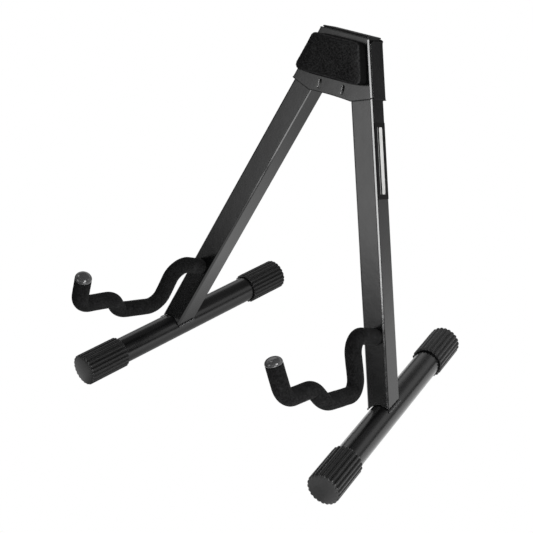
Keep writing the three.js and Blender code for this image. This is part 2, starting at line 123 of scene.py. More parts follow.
def loft(rings, closed_ends=True, ring_closed=True):
    """Faces between equal rings laid one after another."""
    n = len(rings[0])
    faces = []
    m = n if ring_closed else n - 1
    for i in range(len(rings) - 1):
        for j in range(m):
            k = (j + 1) % n
            faces.append((i * n + j, i * n + k, (i + 1) * n + k, (i + 1) * n + j))
    if closed_ends:
        faces.append(tuple(range(n))[::-1])
        faces.append(tuple((len(rings) - 1) * n + j for j in range(n)))
    return np.vstack(rings), faces


def ring_torus(rings):
    """Closed loop of rings: last joins the first."""
    n, k = len(rings[0]), len(rings)
    faces = []
    for i in range(k):
        for j in range(n):
            j2, i2 = (j + 1) % n, (i + 1) % k
            faces.append((i * n + j, i * n + j2, i2 * n + j2, i2 * n + j))
    return np.vstack(rings), faces


def lathe(profile, segments=64, axis="y", centre=(0, 0, 0), closed_profile=False):
    """Turned part from [radius, height] pairs. Radii of 0 make poles; a closed profile makes a ring."""
    ang = np.linspace(0, 2 * math.pi, segments, endpoint=False)
    verts, index = [], []
    for r, h in profile:
        if r < 1e-6:
            index.append([len(verts)] * segments)
            verts.append((0, h, 0))
        else:
            index.append(list(range(len(verts), len(verts) + segments)))
            verts += [(r * math.cos(t), h, r * math.sin(t)) for t in ang]
    faces = []
    pairs = list(zip(index[:-1], index[1:]))
    if closed_profile:
        pairs.append((index[-1], index[0]))
    for a, b in pairs:
        for j in range(segments):
            k = (j + 1) % segments
            q = []
            for x in (a[j], a[k], b[k], b[j]):
                if x not in q:
                    q.append(x)
            if len(q) > 2:
                faces.append(q)
    v = np.array(verts, float)
    if axis == "z":
        v = v[:, [0, 2, 1]] * np.array([1, -1, 1])
        v = np.column_stack([v[:, 0], v[:, 1], v[:, 2]])
    return v + np.array(centre, float), faces


def fillet(points, radii, steps=6):
    """Closed polygon with each corner rounded to its own radius."""
    out, n = [], len(points)
    for i in range(n):
        p = np.array(points[i], float)
        a = np.array(points[(i - 1) % n], float) - p
        b = np.array(points[(i + 1) % n], float) - p
        a /= np.linalg.norm(a)
        b /= np.linalg.norm(b)
        r = radii[i]
        if not r:
            out.append(p)
            continue
        half = math.acos(max(-1, min(1, float(a @ b)))) / 2
        t = r / math.tan(half)
        m = (a + b) / np.linalg.norm(a + b)
        c = p + m * r / math.sin(half)
        s, e = p + a * t - c, p + b * t - c
        a0 = math.atan2(s[1], s[0])
        da = math.atan2(e[1], e[0]) - a0
        while da > math.pi:
            da -= 2 * math.pi
        while da < -math.pi:
            da += 2 * math.pi
        for k in range(steps + 1):
            out.append(c + r * np.array([math.cos(a0 + da * k / steps), math.sin(a0 + da * k / steps)]))
    return np.array(out)


def densify(poly, step):
    """Extra points along the straight runs of a closed polygon, and tight support points at their ends."""
    out, n = [], len(poly)
    for i in range(n):
        p, q = poly[i], poly[(i + 1) % n]
        L = np.linalg.norm(q - p)
        out.append(p)
        if L > 1.2:
            d = (q - p) / L
            ts = [0.25] + [t for t in np.linspace(0, L, max(2, int(round(L / step)) + 1))[1:-1]] + [L - 0.25]
            out += [p + d * t for t in ts]
    return np.array(out)


def fbm(p, scale, octaves=3, seed=0.0):
    """Repeatable noise in about -1..1 at row-frame millimetre points."""
    out = np.zeros(len(p))
    for i, q in enumerate(p):
        out[i] = mnoise.fractal(Vector((q[0] * scale + seed, q[1] * scale - seed * 0.7, q[2] * scale + seed * 1.3)), 1.0, 2.0, octaves)
    return out


# ---------------------------------------------------------------- materials
def srgb(c):
    return c / 12.92 if c <= 0.04045 else ((c + 0.055) / 1.055) ** 2.4


class Nodes:
    def __init__(self, name):
        self.mat = bpy.data.materials.new(name)
        self.mat.use_nodes = True
        self.nt = self.mat.node_tree
        self.nt.nodes.clear()
        self.out = self.nt.nodes.new("ShaderNodeOutputMaterial")
        self.bsdf = self.nt.nodes.new("ShaderNodeBsdfPrincipled")
        self.nt.links.new(self.bsdf.outputs[0], self.out.inputs[0])
        self.tc = self.nt.nodes.new("ShaderNodeTexCoord")

    def link(self, a, b):
        self.nt.links.new(a, b)

    def new(self, kind, **kw):
        n = self.nt.nodes.new(kind)
        for k, v in kw.items():
            setattr(n, k, v)
        return n

    def mapped(self, source="Object", scale=(1, 1, 1), rot=(0, 0, 0)):
        m = self.new("ShaderNodeMapping")
        m.inputs["Scale"].default_value = scale
        m.inputs["Rotation"].default_value = rot
        self.link(self.tc.outputs[source], m.inputs["Vector"])
        return m.outputs[0]

    def noise(self, scale, detail=2.0, rough=0.5, vec=None, distortion=0.0):
        n = self.new("ShaderNodeTexNoise")
        n.inputs["Scale"].default_value = scale
        n.inputs["Detail"].default_value = detail
        n.inputs["Roughness"].default_value = rough
        n.inputs["Distortion"].default_value = distortion
        self.link(vec if vec is not None else self.tc.outputs["Object"], n.inputs["Vector"])
        return n.outputs["Fac"]

    def voronoi(self, scale, feature="F1", vec=None, rnd=1.0):
        n = self.new("ShaderNodeTexVoronoi", feature=feature)
        n.inputs["Scale"].default_value = scale
        n.inputs["Randomness"].default_value = rnd
        self.link(vec if vec is not None else self.tc.outputs["Object"], n.inputs["Vector"])
        return n.outputs["Distance"]

    def ramp(self, fac, stops):
        r = self.new("ShaderNodeValToRGB")
        el = r.color_ramp.elements
        while len(el) > 1:
            el.remove(el[-1])
        el[0].position, el[0].color = stops[0][0], _rgba(stops[0][1])
        for p, c in stops[1:]:
            e = el.new(p)
            e.color = _rgba(c)
        self.link(fac, r.inputs["Fac"])
        return r.outputs["Color"]

    def range(self, fac, lo, hi, out_lo, out_hi):
        m = self.new("ShaderNodeMapRange")
        for k, v in zip(("From Min", "From Max", "To Min", "To Max"), (lo, hi, out_lo, out_hi)):
            m.inputs[k].default_value = v
        self.link(fac, m.inputs["Value"])
        return m.outputs["Result"]

    def math(self, op, a, b=None, clamp=False):
        m = self.new("ShaderNodeMath", operation=op, use_clamp=clamp)
        for i, x in enumerate((a, b)):
            if x is None:
                continue
            if isinstance(x, (int, float)):
                m.inputs[i].default_value = x
            else:
                self.link(x, m.inputs[i])
        return m.outputs[0]

    def mix(self, fac, a, b, blend="MIX"):
        m = self.new("ShaderNodeMix", data_type="RGBA", blend_type=blend)
        if isinstance(fac, (int, float)):
            m.inputs["Factor"].default_value = fac
        else:
            self.link(fac, m.inputs["Factor"])
        for key, x in (("A", a), ("B", b)):
            sock = [s for s in m.inputs if s.name == key and s.type == "RGBA"][0]
            if isinstance(x, tuple):
                sock.default_value = x
            else:
                self.link(x, sock)
        return [s for s in m.outputs if s.type == "RGBA"][0]

    def attribute(self, name):
        a = self.new("ShaderNodeAttribute", attribute_name=name)
        return a.outputs["Fac"]

    def bump(self, height, strength, distance, normal=None):
        b = self.new("ShaderNodeBump")
        b.inputs["Strength"].default_value = strength
        b.inputs["Distance"].default_value = distance
        self.link(height, b.inputs["Height"])
        if normal is not None:
            self.link(normal, b.inputs["Normal"])
        return b.outputs[0]

    def set(self, **kw):
        names = {"base": "Base Color", "rough": "Roughness", "metal": "Metallic", "spec": "Specular IOR Level", "coat": "Coat Weight",
                 "coat_rough": "Coat Roughness", "sheen": "Sheen Weight", "sheen_rough": "Sheen Roughness", "normal": "Normal", "ior": "IOR", "sheen_tint": "Sheen Tint"}
        for k, v in kw.items():
            s = self.bsdf.inputs[names[k]]
            if isinstance(v, (int, float)):
                s.default_value = v
            elif isinstance(v, tuple):
                s.default_value = v
            else:
                self.link(v, s)
        return self


def _rgba(c):
    return (c, c, c, 1.0) if isinstance(c, (int, float)) else (*c[:3], 1.0)


def paint(name, dark, light, rough_lo, rough_hi, spec=0.5, grain=1.0):
    """Baked black paint on steel: orange peel, long soft streaks from drawing the tube, rubbed edges."""
    n = Nodes(name)
    streak = n.noise(22.0, 3.0, 0.6, vec=n.mapped("UV", scale=(9.0, 0.7, 1.0)))
    cloud = n.noise(24.0, 4.0, 0.55)
    speck = n.noise(2300.0, 2.0, 0.6)
    tone = n.math("ADD", n.math("MULTIPLY", streak, 0.45), n.math("MULTIPLY", cloud, 0.55))
    base = n.ramp(tone, [(0.30, dark), (0.52, tuple((a + b) / 2 for a, b in zip(dark, light))), (0.72, light)])
    base = n.mix(n.range(speck, 0.60, 0.74, 0.0, 0.30), base, _rgba(tuple(x * 1.9 for x in light)))
    # lighter where the attribute is set: rubbed edges, and on the lanced strips part of their painted glint
    wear_and_highlight = n.math("MULTIPLY", n.attribute("wear_and_highlight"), n.range(n.noise(160.0, 3.0, 0.6), 0.38, 0.66, 0.25, 1.0))
    base = n.mix(n.math("MULTIPLY", wear_and_highlight, 0.35), base, _rgba(tuple(x * 2.4 for x in light)))
    rough = n.range(n.math("ADD", n.math("MULTIPLY", cloud, 0.5), n.math("MULTIPLY", speck, 0.5)), 0.35, 0.65, rough_lo, rough_hi)
    rough = n.math("SUBTRACT", rough, n.math("MULTIPLY", wear_and_highlight, 0.10), clamp=True)
    peel = n.bump(n.noise(720.0, 2.0, 0.5), 0.10 * grain, 0.00020)
    peel = n.bump(n.noise(95.0, 2.0, 0.5), 0.05 * grain, 0.0010, normal=peel)
    n.set(base=base, rough=rough, metal=0.0, spec=spec, normal=peel)
    return n.mat


def rubber(name):
    n = Nodes(name)
    cloud = n.noise(60.0, 4.0, 0.6)
    fine = n.noise(1400.0, 2.0, 0.6)
    base = n.ramp(cloud, [(0.30, (0.0040, 0.0040, 0.0041)), (0.70, (0.0082, 0.0082, 0.0084))])
    wear_and_highlight = n.attribute("wear_and_highlight")
    scuff = n.math("MULTIPLY", wear_and_highlight, n.range(n.noise(240.0, 4.0, 0.65), 0.30, 0.70, 0.55, 1.0))
    base = n.mix(scuff, base, (0.027, 0.027, 0.0275, 1))
    rough = n.range(fine, 0.35, 0.65, 0.32, 0.44)
    nrm = n.bump(fine, 0.16, 0.00018)
    nrm = n.bump(n.noise(260.0, 3.0, 0.5), 0.08, 0.0005, normal=nrm)
    n.set(base=base, rough=rough, spec=0.36, normal=nrm)
    return n.mat


def foam(name, dark, light, cell, sheen, strength=0.55, spec=0.25, mottle=230.0):
    """Foam with a fine open skin: pitted cells with painted shade in the pits, soft mottling, painted shade on marked
    sides, a painted highlight on marked edges, and a little fuzz at grazing angles.
    """
    n = Nodes(name)
    cells = n.voronoi(cell, "F1")
    pores = n.voronoi(cell * 2.3, "F1")
    mott = n.noise(mottle, 4.0, 0.7)
    big = n.noise(36.0, 3.0, 0.5)
    t = n.math("ADD", n.math("MULTIPLY", mott, 0.84), n.math("MULTIPLY", big, 0.16))
    base = n.ramp(t, [(0.42, dark), (0.58, light)])
    # painted shade: faces marked by the side-shade attribute are darkened to a third of the dark tone
    base = n.mix(n.math("MULTIPLY", n.attribute("painted_side_shade"), 0.85), base, _rgba(tuple(x * 0.35 for x in dark)))
    # painted shade: darker in the pits of the foam cells
    base = n.mix(n.range(cells, 0.05, 0.55, 0.55, 0.0), base, _rgba(tuple(x * 0.45 for x in dark)))
    # lighter where the attribute is set: random lumps, and on the pad a painted highlight along the front edges
    wear_and_highlight = n.math("MULTIPLY", n.attribute("wear_and_highlight"), n.range(n.noise(420.0, 4.0, 0.6), 0.4, 0.62, 0.2, 1.0))
    base = n.mix(n.math("MULTIPLY", wear_and_highlight, 0.6), base, _rgba(tuple(x * 2.2 for x in light)))
    h = n.math("ADD", n.math("MULTIPLY", cells, 0.6), n.math("MULTIPLY", pores, 0.4))
    nrm = n.bump(h, strength, 0.00035)
    nrm = n.bump(n.noise(190.0, 4.0, 0.55), 0.22, 0.0006, normal=nrm)
    n.set(base=base, rough=n.range(mott, 0.3, 0.7, 0.82, 0.97), spec=spec, sheen=sheen, sheen_rough=0.45, normal=nrm)
    return n.mat


def plastic(name, dark, light, rough_lo, rough_hi, coat=0.0, bump=0.06, spec=0.5):
    n = Nodes(name)
    cloud = n.noise(70.0, 3.0, 0.5)
    fine = n.noise(1800.0, 2.0, 0.5)
    base = n.ramp(cloud, [(0.3, dark), (0.7, light)])
    base = n.mix(n.math("MULTIPLY", n.attribute("wear_and_highlight"), 0.5), base, _rgba(tuple(x * 2.0 for x in light)))
    n.set(base=base, rough=n.range(n.noise(300.0, 3.0, 0.6), 0.35, 0.65, rough_lo, rough_hi), spec=spec, coat=coat, coat_rough=0.08, normal=n.bump(fine, bump, 0.00012))
    return n.mat


def zinc(name):
    n = Nodes(name)
    spangle = n.voronoi(420.0, "F1")
    lines = n.noise(900.0, 2.0, 0.5, vec=n.mapped("Object", scale=(1, 0.08, 1)))
    base = n.ramp(n.noise(90.0, 3.0, 0.6), [(0.3, (0.42, 0.42, 0.44)), (0.55, (0.52, 0.525, 0.53)), (0.75, (0.60, 0.59, 0.56))])
    base = n.mix(n.range(spangle, 0.0, 0.8, 0.0, 0.25), base, (0.34, 0.35, 0.37, 1))
    n.set(base=base, metal=1.0, rough=n.range(lines, 0.3, 0.7, 0.26, 0.46), normal=n.bump(lines, 0.10, 0.0001))
    return n.mat


M_LEG = paint("satin_black_paint", (0.0022, 0.00225, 0.0024), (0.0042, 0.0043, 0.0045), 0.15, 0.22, grain=1.3)
M_HEAD = paint("satin_black_head", (0.0026, 0.00265, 0.0028), (0.0048, 0.0049, 0.0051), 0.17, 0.24, grain=1.4)
M_FOOT = paint("gloss_black_paint", (0.0030, 0.0030, 0.0032), (0.0058, 0.0058, 0.0060), 0.20, 0.28, grain=1.2)
# painted highlight: the lanced strips' paint is about ten times lighter than the plate's, as a glint
M_GLINT_STRIP = paint("pressed_edge_painted_glint", (0.030, 0.030, 0.0305), (0.050, 0.050, 0.0505), 0.20, 0.24, grain=0.2)
M_RUBBER = rubber("ribbed_rubber")
M_PAD = foam("pad_foam", (0.0046, 0.0046, 0.0047), (0.0250, 0.0250, 0.0254), 950.0, 0.0, spec=0.03, mottle=640.0)
M_SLEEVE = foam("sleeve_foam", (0.0026, 0.0026, 0.0027), (0.0105, 0.0105, 0.0108), 1300.0, 0.015, strength=0.40, spec=0.07, mottle=430.0)
M_TIP = plastic("tip_plastic", (0.046, 0.046, 0.0465), (0.062, 0.062, 0.063), 0.14, 0.16, coat=0.0, bump=0.0, spec=0.5)
M_CLOSE = plastic("closing_plastic", (0.0012, 0.0012, 0.0013), (0.0024, 0.0024, 0.0025), 0.42, 0.56, bump=0.12, spec=0.22)
M_NYLON = plastic("natural_nylon", (0.60, 0.59, 0.55), (0.72, 0.71, 0.67), 0.38, 0.52, bump=0.08)
M_ZINC = zinc("zinc_plate")
M_FILM = plastic("label_film", (0.0016, 0.0016, 0.0017), (0.0026, 0.0026, 0.0027), 0.34, 0.44, bump=0.02, spec=0.10)
M_BAR = plastic("label_print", (0.50, 0.50, 0.49), (0.62, 0.62, 0.61), 0.40, 0.52, bump=0.02)
M_BAR_DIM = plastic("label_print_grey", (0.20, 0.20, 0.20), (0.27, 0.27, 0.27), 0.40, 0.52, bump=0.02)
M_WELD = paint("weld_paint", (0.020, 0.020, 0.0205), (0.040, 0.040, 0.041), 0.20, 0.30, grain=1.5)

SIDES = (("left", True), ("right", False))


# ---------------------------------------------------------------- leg tubes
def section(side, r, corner_steps=7, flat_step=6.0):
    h = side / 2
    c = r * 0.74                     # a drawn tube's corner: nearly a chamfer, with soft ends
    pts, rad = [], []
    for sx, sy in ((1, 1), (-1, 1), (-1, -1), (1, -1)):
        a, b = (sx * h, sy * (h - c)), (sx * (h - c), sy * h)
        pts += [a, b] if sx * sy > 0 else [b, a]
        rad += [1.25, 1.25]
    return densify(fillet(pts, rad, 5), flat_step)


SET = {"left": 0.0, "right": 4.2}            # how far each leg's foot end sits back from its drawn line, mm


def leg_point(side, p):
    """Leg-frame points to row-frame millimetres (right-hand side), with the leg's own set at its foot."""
    p = np.atleast_2d(np.asarray(p, float))
    k = SET[side] * np.clip(1 - p[:, 2] / PIVOT_A, 0, 1.1)
    return from_leg(p) + np.outer(k, (-0.529, 0.682, -0.505))


def cope(side, u, y, radius):
    """Height on the leg where it first meets a tube of that radius about the foot's axis, or the saddle's floor."""
    o, d = np.array([FOOT_X, Y0, CREST]), np.array([-math.sin(SPLAY), math.cos(SPLAY), 0.0])

    def free(a):
        q = leg_point(side, (u, y, a))[0]
        w = q - o
        w = w - (w @ d) * d
        return math.sqrt(w @ w) > radius and q[2] > CREST + 4.5

    hi = 40.0
    lo = hi
    while lo > -25 and free(lo):
        lo -= 1.0
    hi = lo + 1.0
    for _ in range(14):
        mid = (lo + hi) / 2
        if free(mid):
            hi = mid
        else:
            lo = mid
    return hi


def leg_rings(side, sec, radius):
    """Rows of the leg wall between the coped foot and the round top."""
    lower, upper = [], []
    for u, y in sec:
        lower.append(cope(side, u, y, radius))
        uu = max(-12.5, min(12.5, u))
        upper.append(PIVOT_A + math.sqrt(max(0.0, 12.5 ** 2 - uu * uu)))
    lower, upper = np.array(lower), np.array(upper)
    rows = []
    for t in (0.0, 0.0012, 0.02, 0.06, 0.12, 0.2, 0.3, 0.4, 0.5, 0.6, 0.7, 0.8, 0.9, 0.97, 1.0):
        a = lower + (upper - lower) * t
        rows.append(np.column_stack([sec[:, 0], sec[:, 1], a]))
    return rows


def make_leg(side, mirror):
    outer = section(SIDE - 0.02, CORNER)
    k = (SIDE - 2 * WALL) / (SIDE - 0.02)
    inner = outer * k
    ro = leg_rings(side, outer, FOOT_R + 1.3)
    ri = leg_rings(side, inner, FOOT_R + 1.3)
    rings = [leg_point(side, r) for r in ro] + [leg_point(side, r) for r in ri[::-1]]
    v, f = ring_torus(rings)
    # corner wear, and a UV of perimeter by height
    per = np.concatenate([[0], np.cumsum(np.linalg.norm(np.diff(outer, axis=0), axis=1))])
    h = SIDE / 2 - CORNER
    cornerness = np.clip(((np.abs(outer[:, 0]) - h).clip(0) * (np.abs(outer[:, 1]) - h).clip(0)) / (CORNER * CORNER * 0.40), 0, 1)
    n = len(outer)
    wear_and_highlight = np.concatenate([cornerness] * len(ro) + [np.zeros(n)] * len(ri))
    uv = np.vstack([np.column_stack([per, r[:, 2]]) for r in ro] + [np.column_stack([per, r[:, 2]]) for r in ri[::-1]])
    build(f"{side}_leg", v, f, M_LEG, f"{side}_leg", [f"{side}_leg_tube"], mirror, uv=uv, wear_and_highlight=wear_and_highlight, sharp=60, flat=True)


def make_welds(side, mirror):
    """Beads along both side faces where the leg meets the foot: overlapping ripples, smeared at the ends."""
    rng = np.random.RandomState(11 if mirror else 5)
    o, ax = np.array([FOOT_X, Y0, CREST]), np.array([-math.sin(SPLAY), math.cos(SPLAY), 0.0])
    for face, label in ((1, "outer"), (-1, "inner")):
        path = []
        for y in np.linspace(-12.4 if face > 0 else -10.4, 11.8, 72):
            u = face * (SIDE / 2 + 0.55)
            path.append(leg_point(side, (u, y, cope(side, u, y, FOOT_R + 0.45)))[0])
        path = np.array(path)
        s = np.concatenate([[0], np.cumsum(np.linalg.norm(np.diff(path, axis=0), axis=1))])
        total = s[-1]
        # one drop after another, each a little different
        cells = rng.uniform(0.75, 1.25, 40)
        edges = np.concatenate([[0], np.cumsum(2.1 * cells)])
        phase = np.array([(x - edges[np.searchsorted(edges, x, "right") - 1]) / (edges[np.searchsorted(edges, x, "right")] - edges[np.searchsorted(edges, x, "right") - 1]) for x in s])
        fat = np.array([cells[np.searchsorted(edges, x, "right") - 1] for x in s])
        ends = np.clip(np.minimum(s, total - s) / 1.6, 0, 1) ** 0.5
        rad = (0.95 + 0.42 * np.sin(phase * math.pi) * fat + 0.08 * rng.rand(len(s))) * np.clip(ends, 0.15, 1)
        rings, m = [], 14
        for i in range(len(path)):
            t = path[min(i + 1, len(path) - 1)] - path[max(i - 1, 0)]
            t /= np.linalg.norm(t)
            w = path[i] - o
            w = w - (w @ ax) * ax
            out = w / np.linalg.norm(w)
            out = out - (out @ t) * t
            out /= np.linalg.norm(out)
            side_v = np.cross(t, out)
            wob = 0.30 * math.sin(s[i] * 1.3 + face * 2) + 0.18 * math.sin(s[i] * 3.1)
            c = path[i] + out * 0.15 + side_v * wob
            rings.append(np.array([c + rad[i] * (math.cos(2 * math.pi * j / m) * out * 0.85 + math.sin(2 * math.pi * j / m) * side_v * 1.15) for j in range(m)]))
        v, f = loft(rings)
        build(f"{side}_weld_{label}", v, f, M_WELD, f"{side}_leg", (), mirror, sharp=70)


# ---------------------------------------------------------------- feet
def make_foot(side, mirror):
    y0, y1 = -(FOOT_FRONT - 4.5), FOOT_REAR - 4.5
    m = 96
    ang = np.linspace(0, 2 * math.pi, m, endpoint=False)
    circ = np.column_stack([np.cos(ang), np.sin(ang)])
    rings = []
    r = FOOT_R - 0.01
    stations = [y0 + 0.0, y0 + 0.4] + list(np.linspace(y0 + 12, y1 - 12, 24)) + [y1 - 0.4, y1]
    uv = []
    for i, y in enumerate(stations):
        rr = r - (0.4 if i in (0, len(stations) - 1) else 0)
        rings.append(from_foot(np.column_stack([circ[:, 0] * rr, np.full(m, y), circ[:, 1] * rr])))
        uv.append(np.column_stack([ang * r, np.full(m, y)]))
    for y in (y1, y0):
        rr = r - 1.5
        rings.append(from_foot(np.column_stack([circ[:, 0] * rr, np.full(m, y), circ[:, 1] * rr])))
        uv.append(np.column_stack([ang * r, np.full(m, y)]))
    v, f = ring_torus(rings)
    build(f"{side}_foot", v, f, M_FOOT, f"{side}_leg", [f"{side}_foot_tube"], mirror, uv=np.vstack(uv), sharp=50)


def smoothstep(x, a, b):
    t = np.clip((x - a) / (b - a), 0, 1)
    return t * t * (3 - 2 * t)


def make_cap(side, mirror, end):
    """Ribbed rubber end cap: rounded ribs, a toothed mouth, and a slightly domed end disc."""
    per_rib = 14
    m = RIBS * per_rib
    phase = np.arange(m) / per_rib            # in ribs; a crest is centred on each whole number
    frac = np.abs((phase + 0.5) % 1 - 0.5)    # 0 on a crest, 0.5 in a groove
    w = np.sqrt(np.clip(1 - (frac / 0.37) ** 2, 0, 1)) ** 0.9    # a rounded rib between narrow grooves
    ang = -math.pi / 2 + phase * 2 * math.pi / RIBS
    L, bore = CAP_L, 14.72
    crest, root = [], []

    def arc(cx, cy, r, a0, a1, k):
        return [(cx + r * math.cos(math.radians(a)), cy + r * math.sin(math.radians(a))) for a in np.linspace(a0, a1, k)]

    # (radius, height) from the mouth's inner edge, out over the rim, along the rib, over the shoulder to the disc
    C, R = CREST - 0.02, ROOT - 0.35
    crest = [(bore, 0.35), (bore + 0.3, 0.0), (C - 1.2, 0.0)] + arc(C - 0.9, 0.9, 0.9, -90, 0, 5)
    root = [(bore, 0.35), (bore + 0.3, 0.05), (R - 0.55, 0.05)] + arc(R - 0.4, 0.45, 0.4, -90, 0, 5)
    for h in (2.2, 5, 12, 20, 28, 36, 44, 48.0):
        crest.append((C, h))
        root.append((R, h))
    crest += arc(C - 2.1, L - 3.6, 2.1, 0, 66, 8)
    root += arc(R - 1.0, L - 2.75, 1.0, 0, 66, 8)
    crest += [(15.6, L - 1.48), (15.0, L - 1.28)]
    root += [(15.1, L - 1.62), (14.7, L - 1.34)]
    for r in (14.0, 12.5, 10.5, 8.0, 5.5, 3.0):
        hgt = L - 1.25 * (r / 14.6) ** 2.2
        crest.append((r, hgt))
        root.append((r, hgt))
    crest, root = np.array(crest), np.array(root)
    rings, wears, uvs = [], [], []
    for i in range(len(crest)):
        r = root[i, 0] + (crest[i, 0] - root[i, 0]) * w
        h = root[i, 1] + (crest[i, 1] - root[i, 1]) * w
        pts = np.column_stack([r * np.cos(ang), h, r * np.sin(ang)])
        rings.append(pts)
        disc = 1.0 if crest[i, 1] > L - 1.9 and crest[i, 0] < 16.6 else 0.0
        wears.append(np.maximum(disc * 0.55, 0.28 * w ** 6 * (1 if 1 < crest[i, 1] < L else 0)))
        uvs.append(np.column_stack([ang * R, h]))
    # pole, then back down inside
    inner = [(bore - 0.0, L - 4.2), (bore, 20.0)]
    verts = list(np.vstack(rings))
    wear_and_highlight = list(np.concatenate(wears))
    uv = list(np.vstack(uvs))
    faces = []
    n = len(rings)
    for i in range(n - 1):
        for j in range(m):
            k = (j + 1) % m
            faces.append((i * m + j, i * m + k, (i + 1) * m + k, (i + 1) * m + j))
    pole = len(verts)
    verts.append(np.array([0, L, 0.0]))
    wear_and_highlight.append(0.55)
    uv.append(np.array([0, L]))
    for j in range(m):
        faces.append(((n - 1) * m + j, (n - 1) * m + (j + 1) % m, pole))
    prev = 0
    for r, h in inner[::-1]:
        start = len(verts)
        verts += list(np.column_stack([np.full(m, r) * np.cos(ang), np.full(m, h), r * np.sin(ang)]))
        wear_and_highlight += [0.0] * m
        uv += list(np.column_stack([ang * R, np.full(m, h)]))
        for j in range(m):
            k = (j + 1) % m
            faces.append((prev * m + j if prev == 0 else prev + j, start + j, start + k, prev * m + k if prev == 0 else prev + k))
        prev = start
    pole2 = len(verts)
    verts.append(np.array([0, L - 4.2, 0.0]))
    wear_and_highlight.append(0.0)
    uv.append(np.array([0, L]))
    for j in range(m):
        faces.append((prev + (j + 1) % m, prev + j, pole2))
    p = np.array(verts, float)
    # moulded softness: a very slight shrink and a little unevenness in the rubber
    seed = {"front": 3.1, "rear": 7.7}[end] + (20 if mirror else 0)
    lump = fbm(p, 0.06, 2, seed)
    rad = np.hypot(p[:, 0], p[:, 2])
    shrink = np.where(rad > bore + 0.5, 1 - 0.0022 * (1 + lump) * np.clip((rad - bore) / 2, 0, 1), 1.0)
    p[:, 0] *= shrink
    p[:, 2] = np.where(p[:, 2] < -ROOT, p[:, 2], p[:, 2] * shrink)
    if end == "front":
        q = np.column_stack([p[:, 0], -(FOOT_FRONT - L) - p[:, 1], p[:, 2]])
    else:
        q = np.column_stack([-p[:, 0], (FOOT_REAR - L) + p[:, 1], p[:, 2]])
    build(f"{side}_cap_{end}", from_foot(q), faces, M_RUBBER, f"{side}_leg", [f"{side}_foot_cap_{end}"], mirror, uv=np.array(uv), wear_and_highlight=np.array(wear_and_highlight), sharp=60)


# ---------------------------------------------------------------- yokes
def yoke_path(from_y, step=1.0, bend_step=3.0):
    """Stations of the bent rod: points, directions, and for each the bend it is in (side, share, sharpness)."""
    V = [np.array(p, float) for p, _ in YOKE]
    R = [r for _, r in YOKE]
    first = (V[1] - V[0]) / np.linalg.norm(V[1] - V[0])
    pts, dirs, info = [], [], []

    def straight(a, b):
        L = np.linalg.norm(b - a)
        k = max(1, int(round(L / step)))
        d = (b - a) / L
        for i in range(k):
            pts.append(a + (b - a) * i / k)
            dirs.append(d)
            info.append((0, 0.0, 0.0, 0.0))

    here = V[0] + first * (from_y - V[0][0]) / first[0]
    for i in range(1, len(V) - 1):
        d0 = (V[i] - V[i - 1]) / np.linalg.norm(V[i] - V[i - 1])
        d1 = (V[i + 1] - V[i]) / np.linalg.norm(V[i + 1] - V[i])
        turn = math.atan2(d0[0] * d1[1] - d0[1] * d1[0], float(d0 @ d1))
        r, sd = R[i], (1 if turn > 0 else -1)
        t = r * math.tan(abs(turn) / 2)
        s = V[i] - d0 * t
        straight(here, s)
        c = s + np.array([-d0[1], d0[0]]) * sd * r
        k = max(3, int(round(math.degrees(abs(turn)) / bend_step)))
        for j in range(k + 1):
            a = turn * j / k
            d = np.array([d0[0] * math.cos(a) - d0[1] * math.sin(a), d0[0] * math.sin(a) + d0[1] * math.cos(a)])
            pts.append(c + np.array([d[1], -d[0]]) * sd * r)
            dirs.append(d)
            half = abs(turn) / 2
            off = half - abs(abs(a) - half)   # angle from the nearer tangent point
            info.append((sd, off, r, i))
        here = pts.pop()
        dirs.pop()
        info.pop()
    last = (V[-1] - V[-2]) / np.linalg.norm(V[-1] - V[-2])
    straight(here, V[-1])
    pts.append(V[-1])
    dirs.append(last)
    info.append((0, 0.0, 0.0, 0.0))
    return np.array(pts), np.array(dirs), info


CREASE = {2: 0.15, 3: 1.0, 4: 1.0, 5: 1.0}     # how far the foam folds to a crease inside each bend


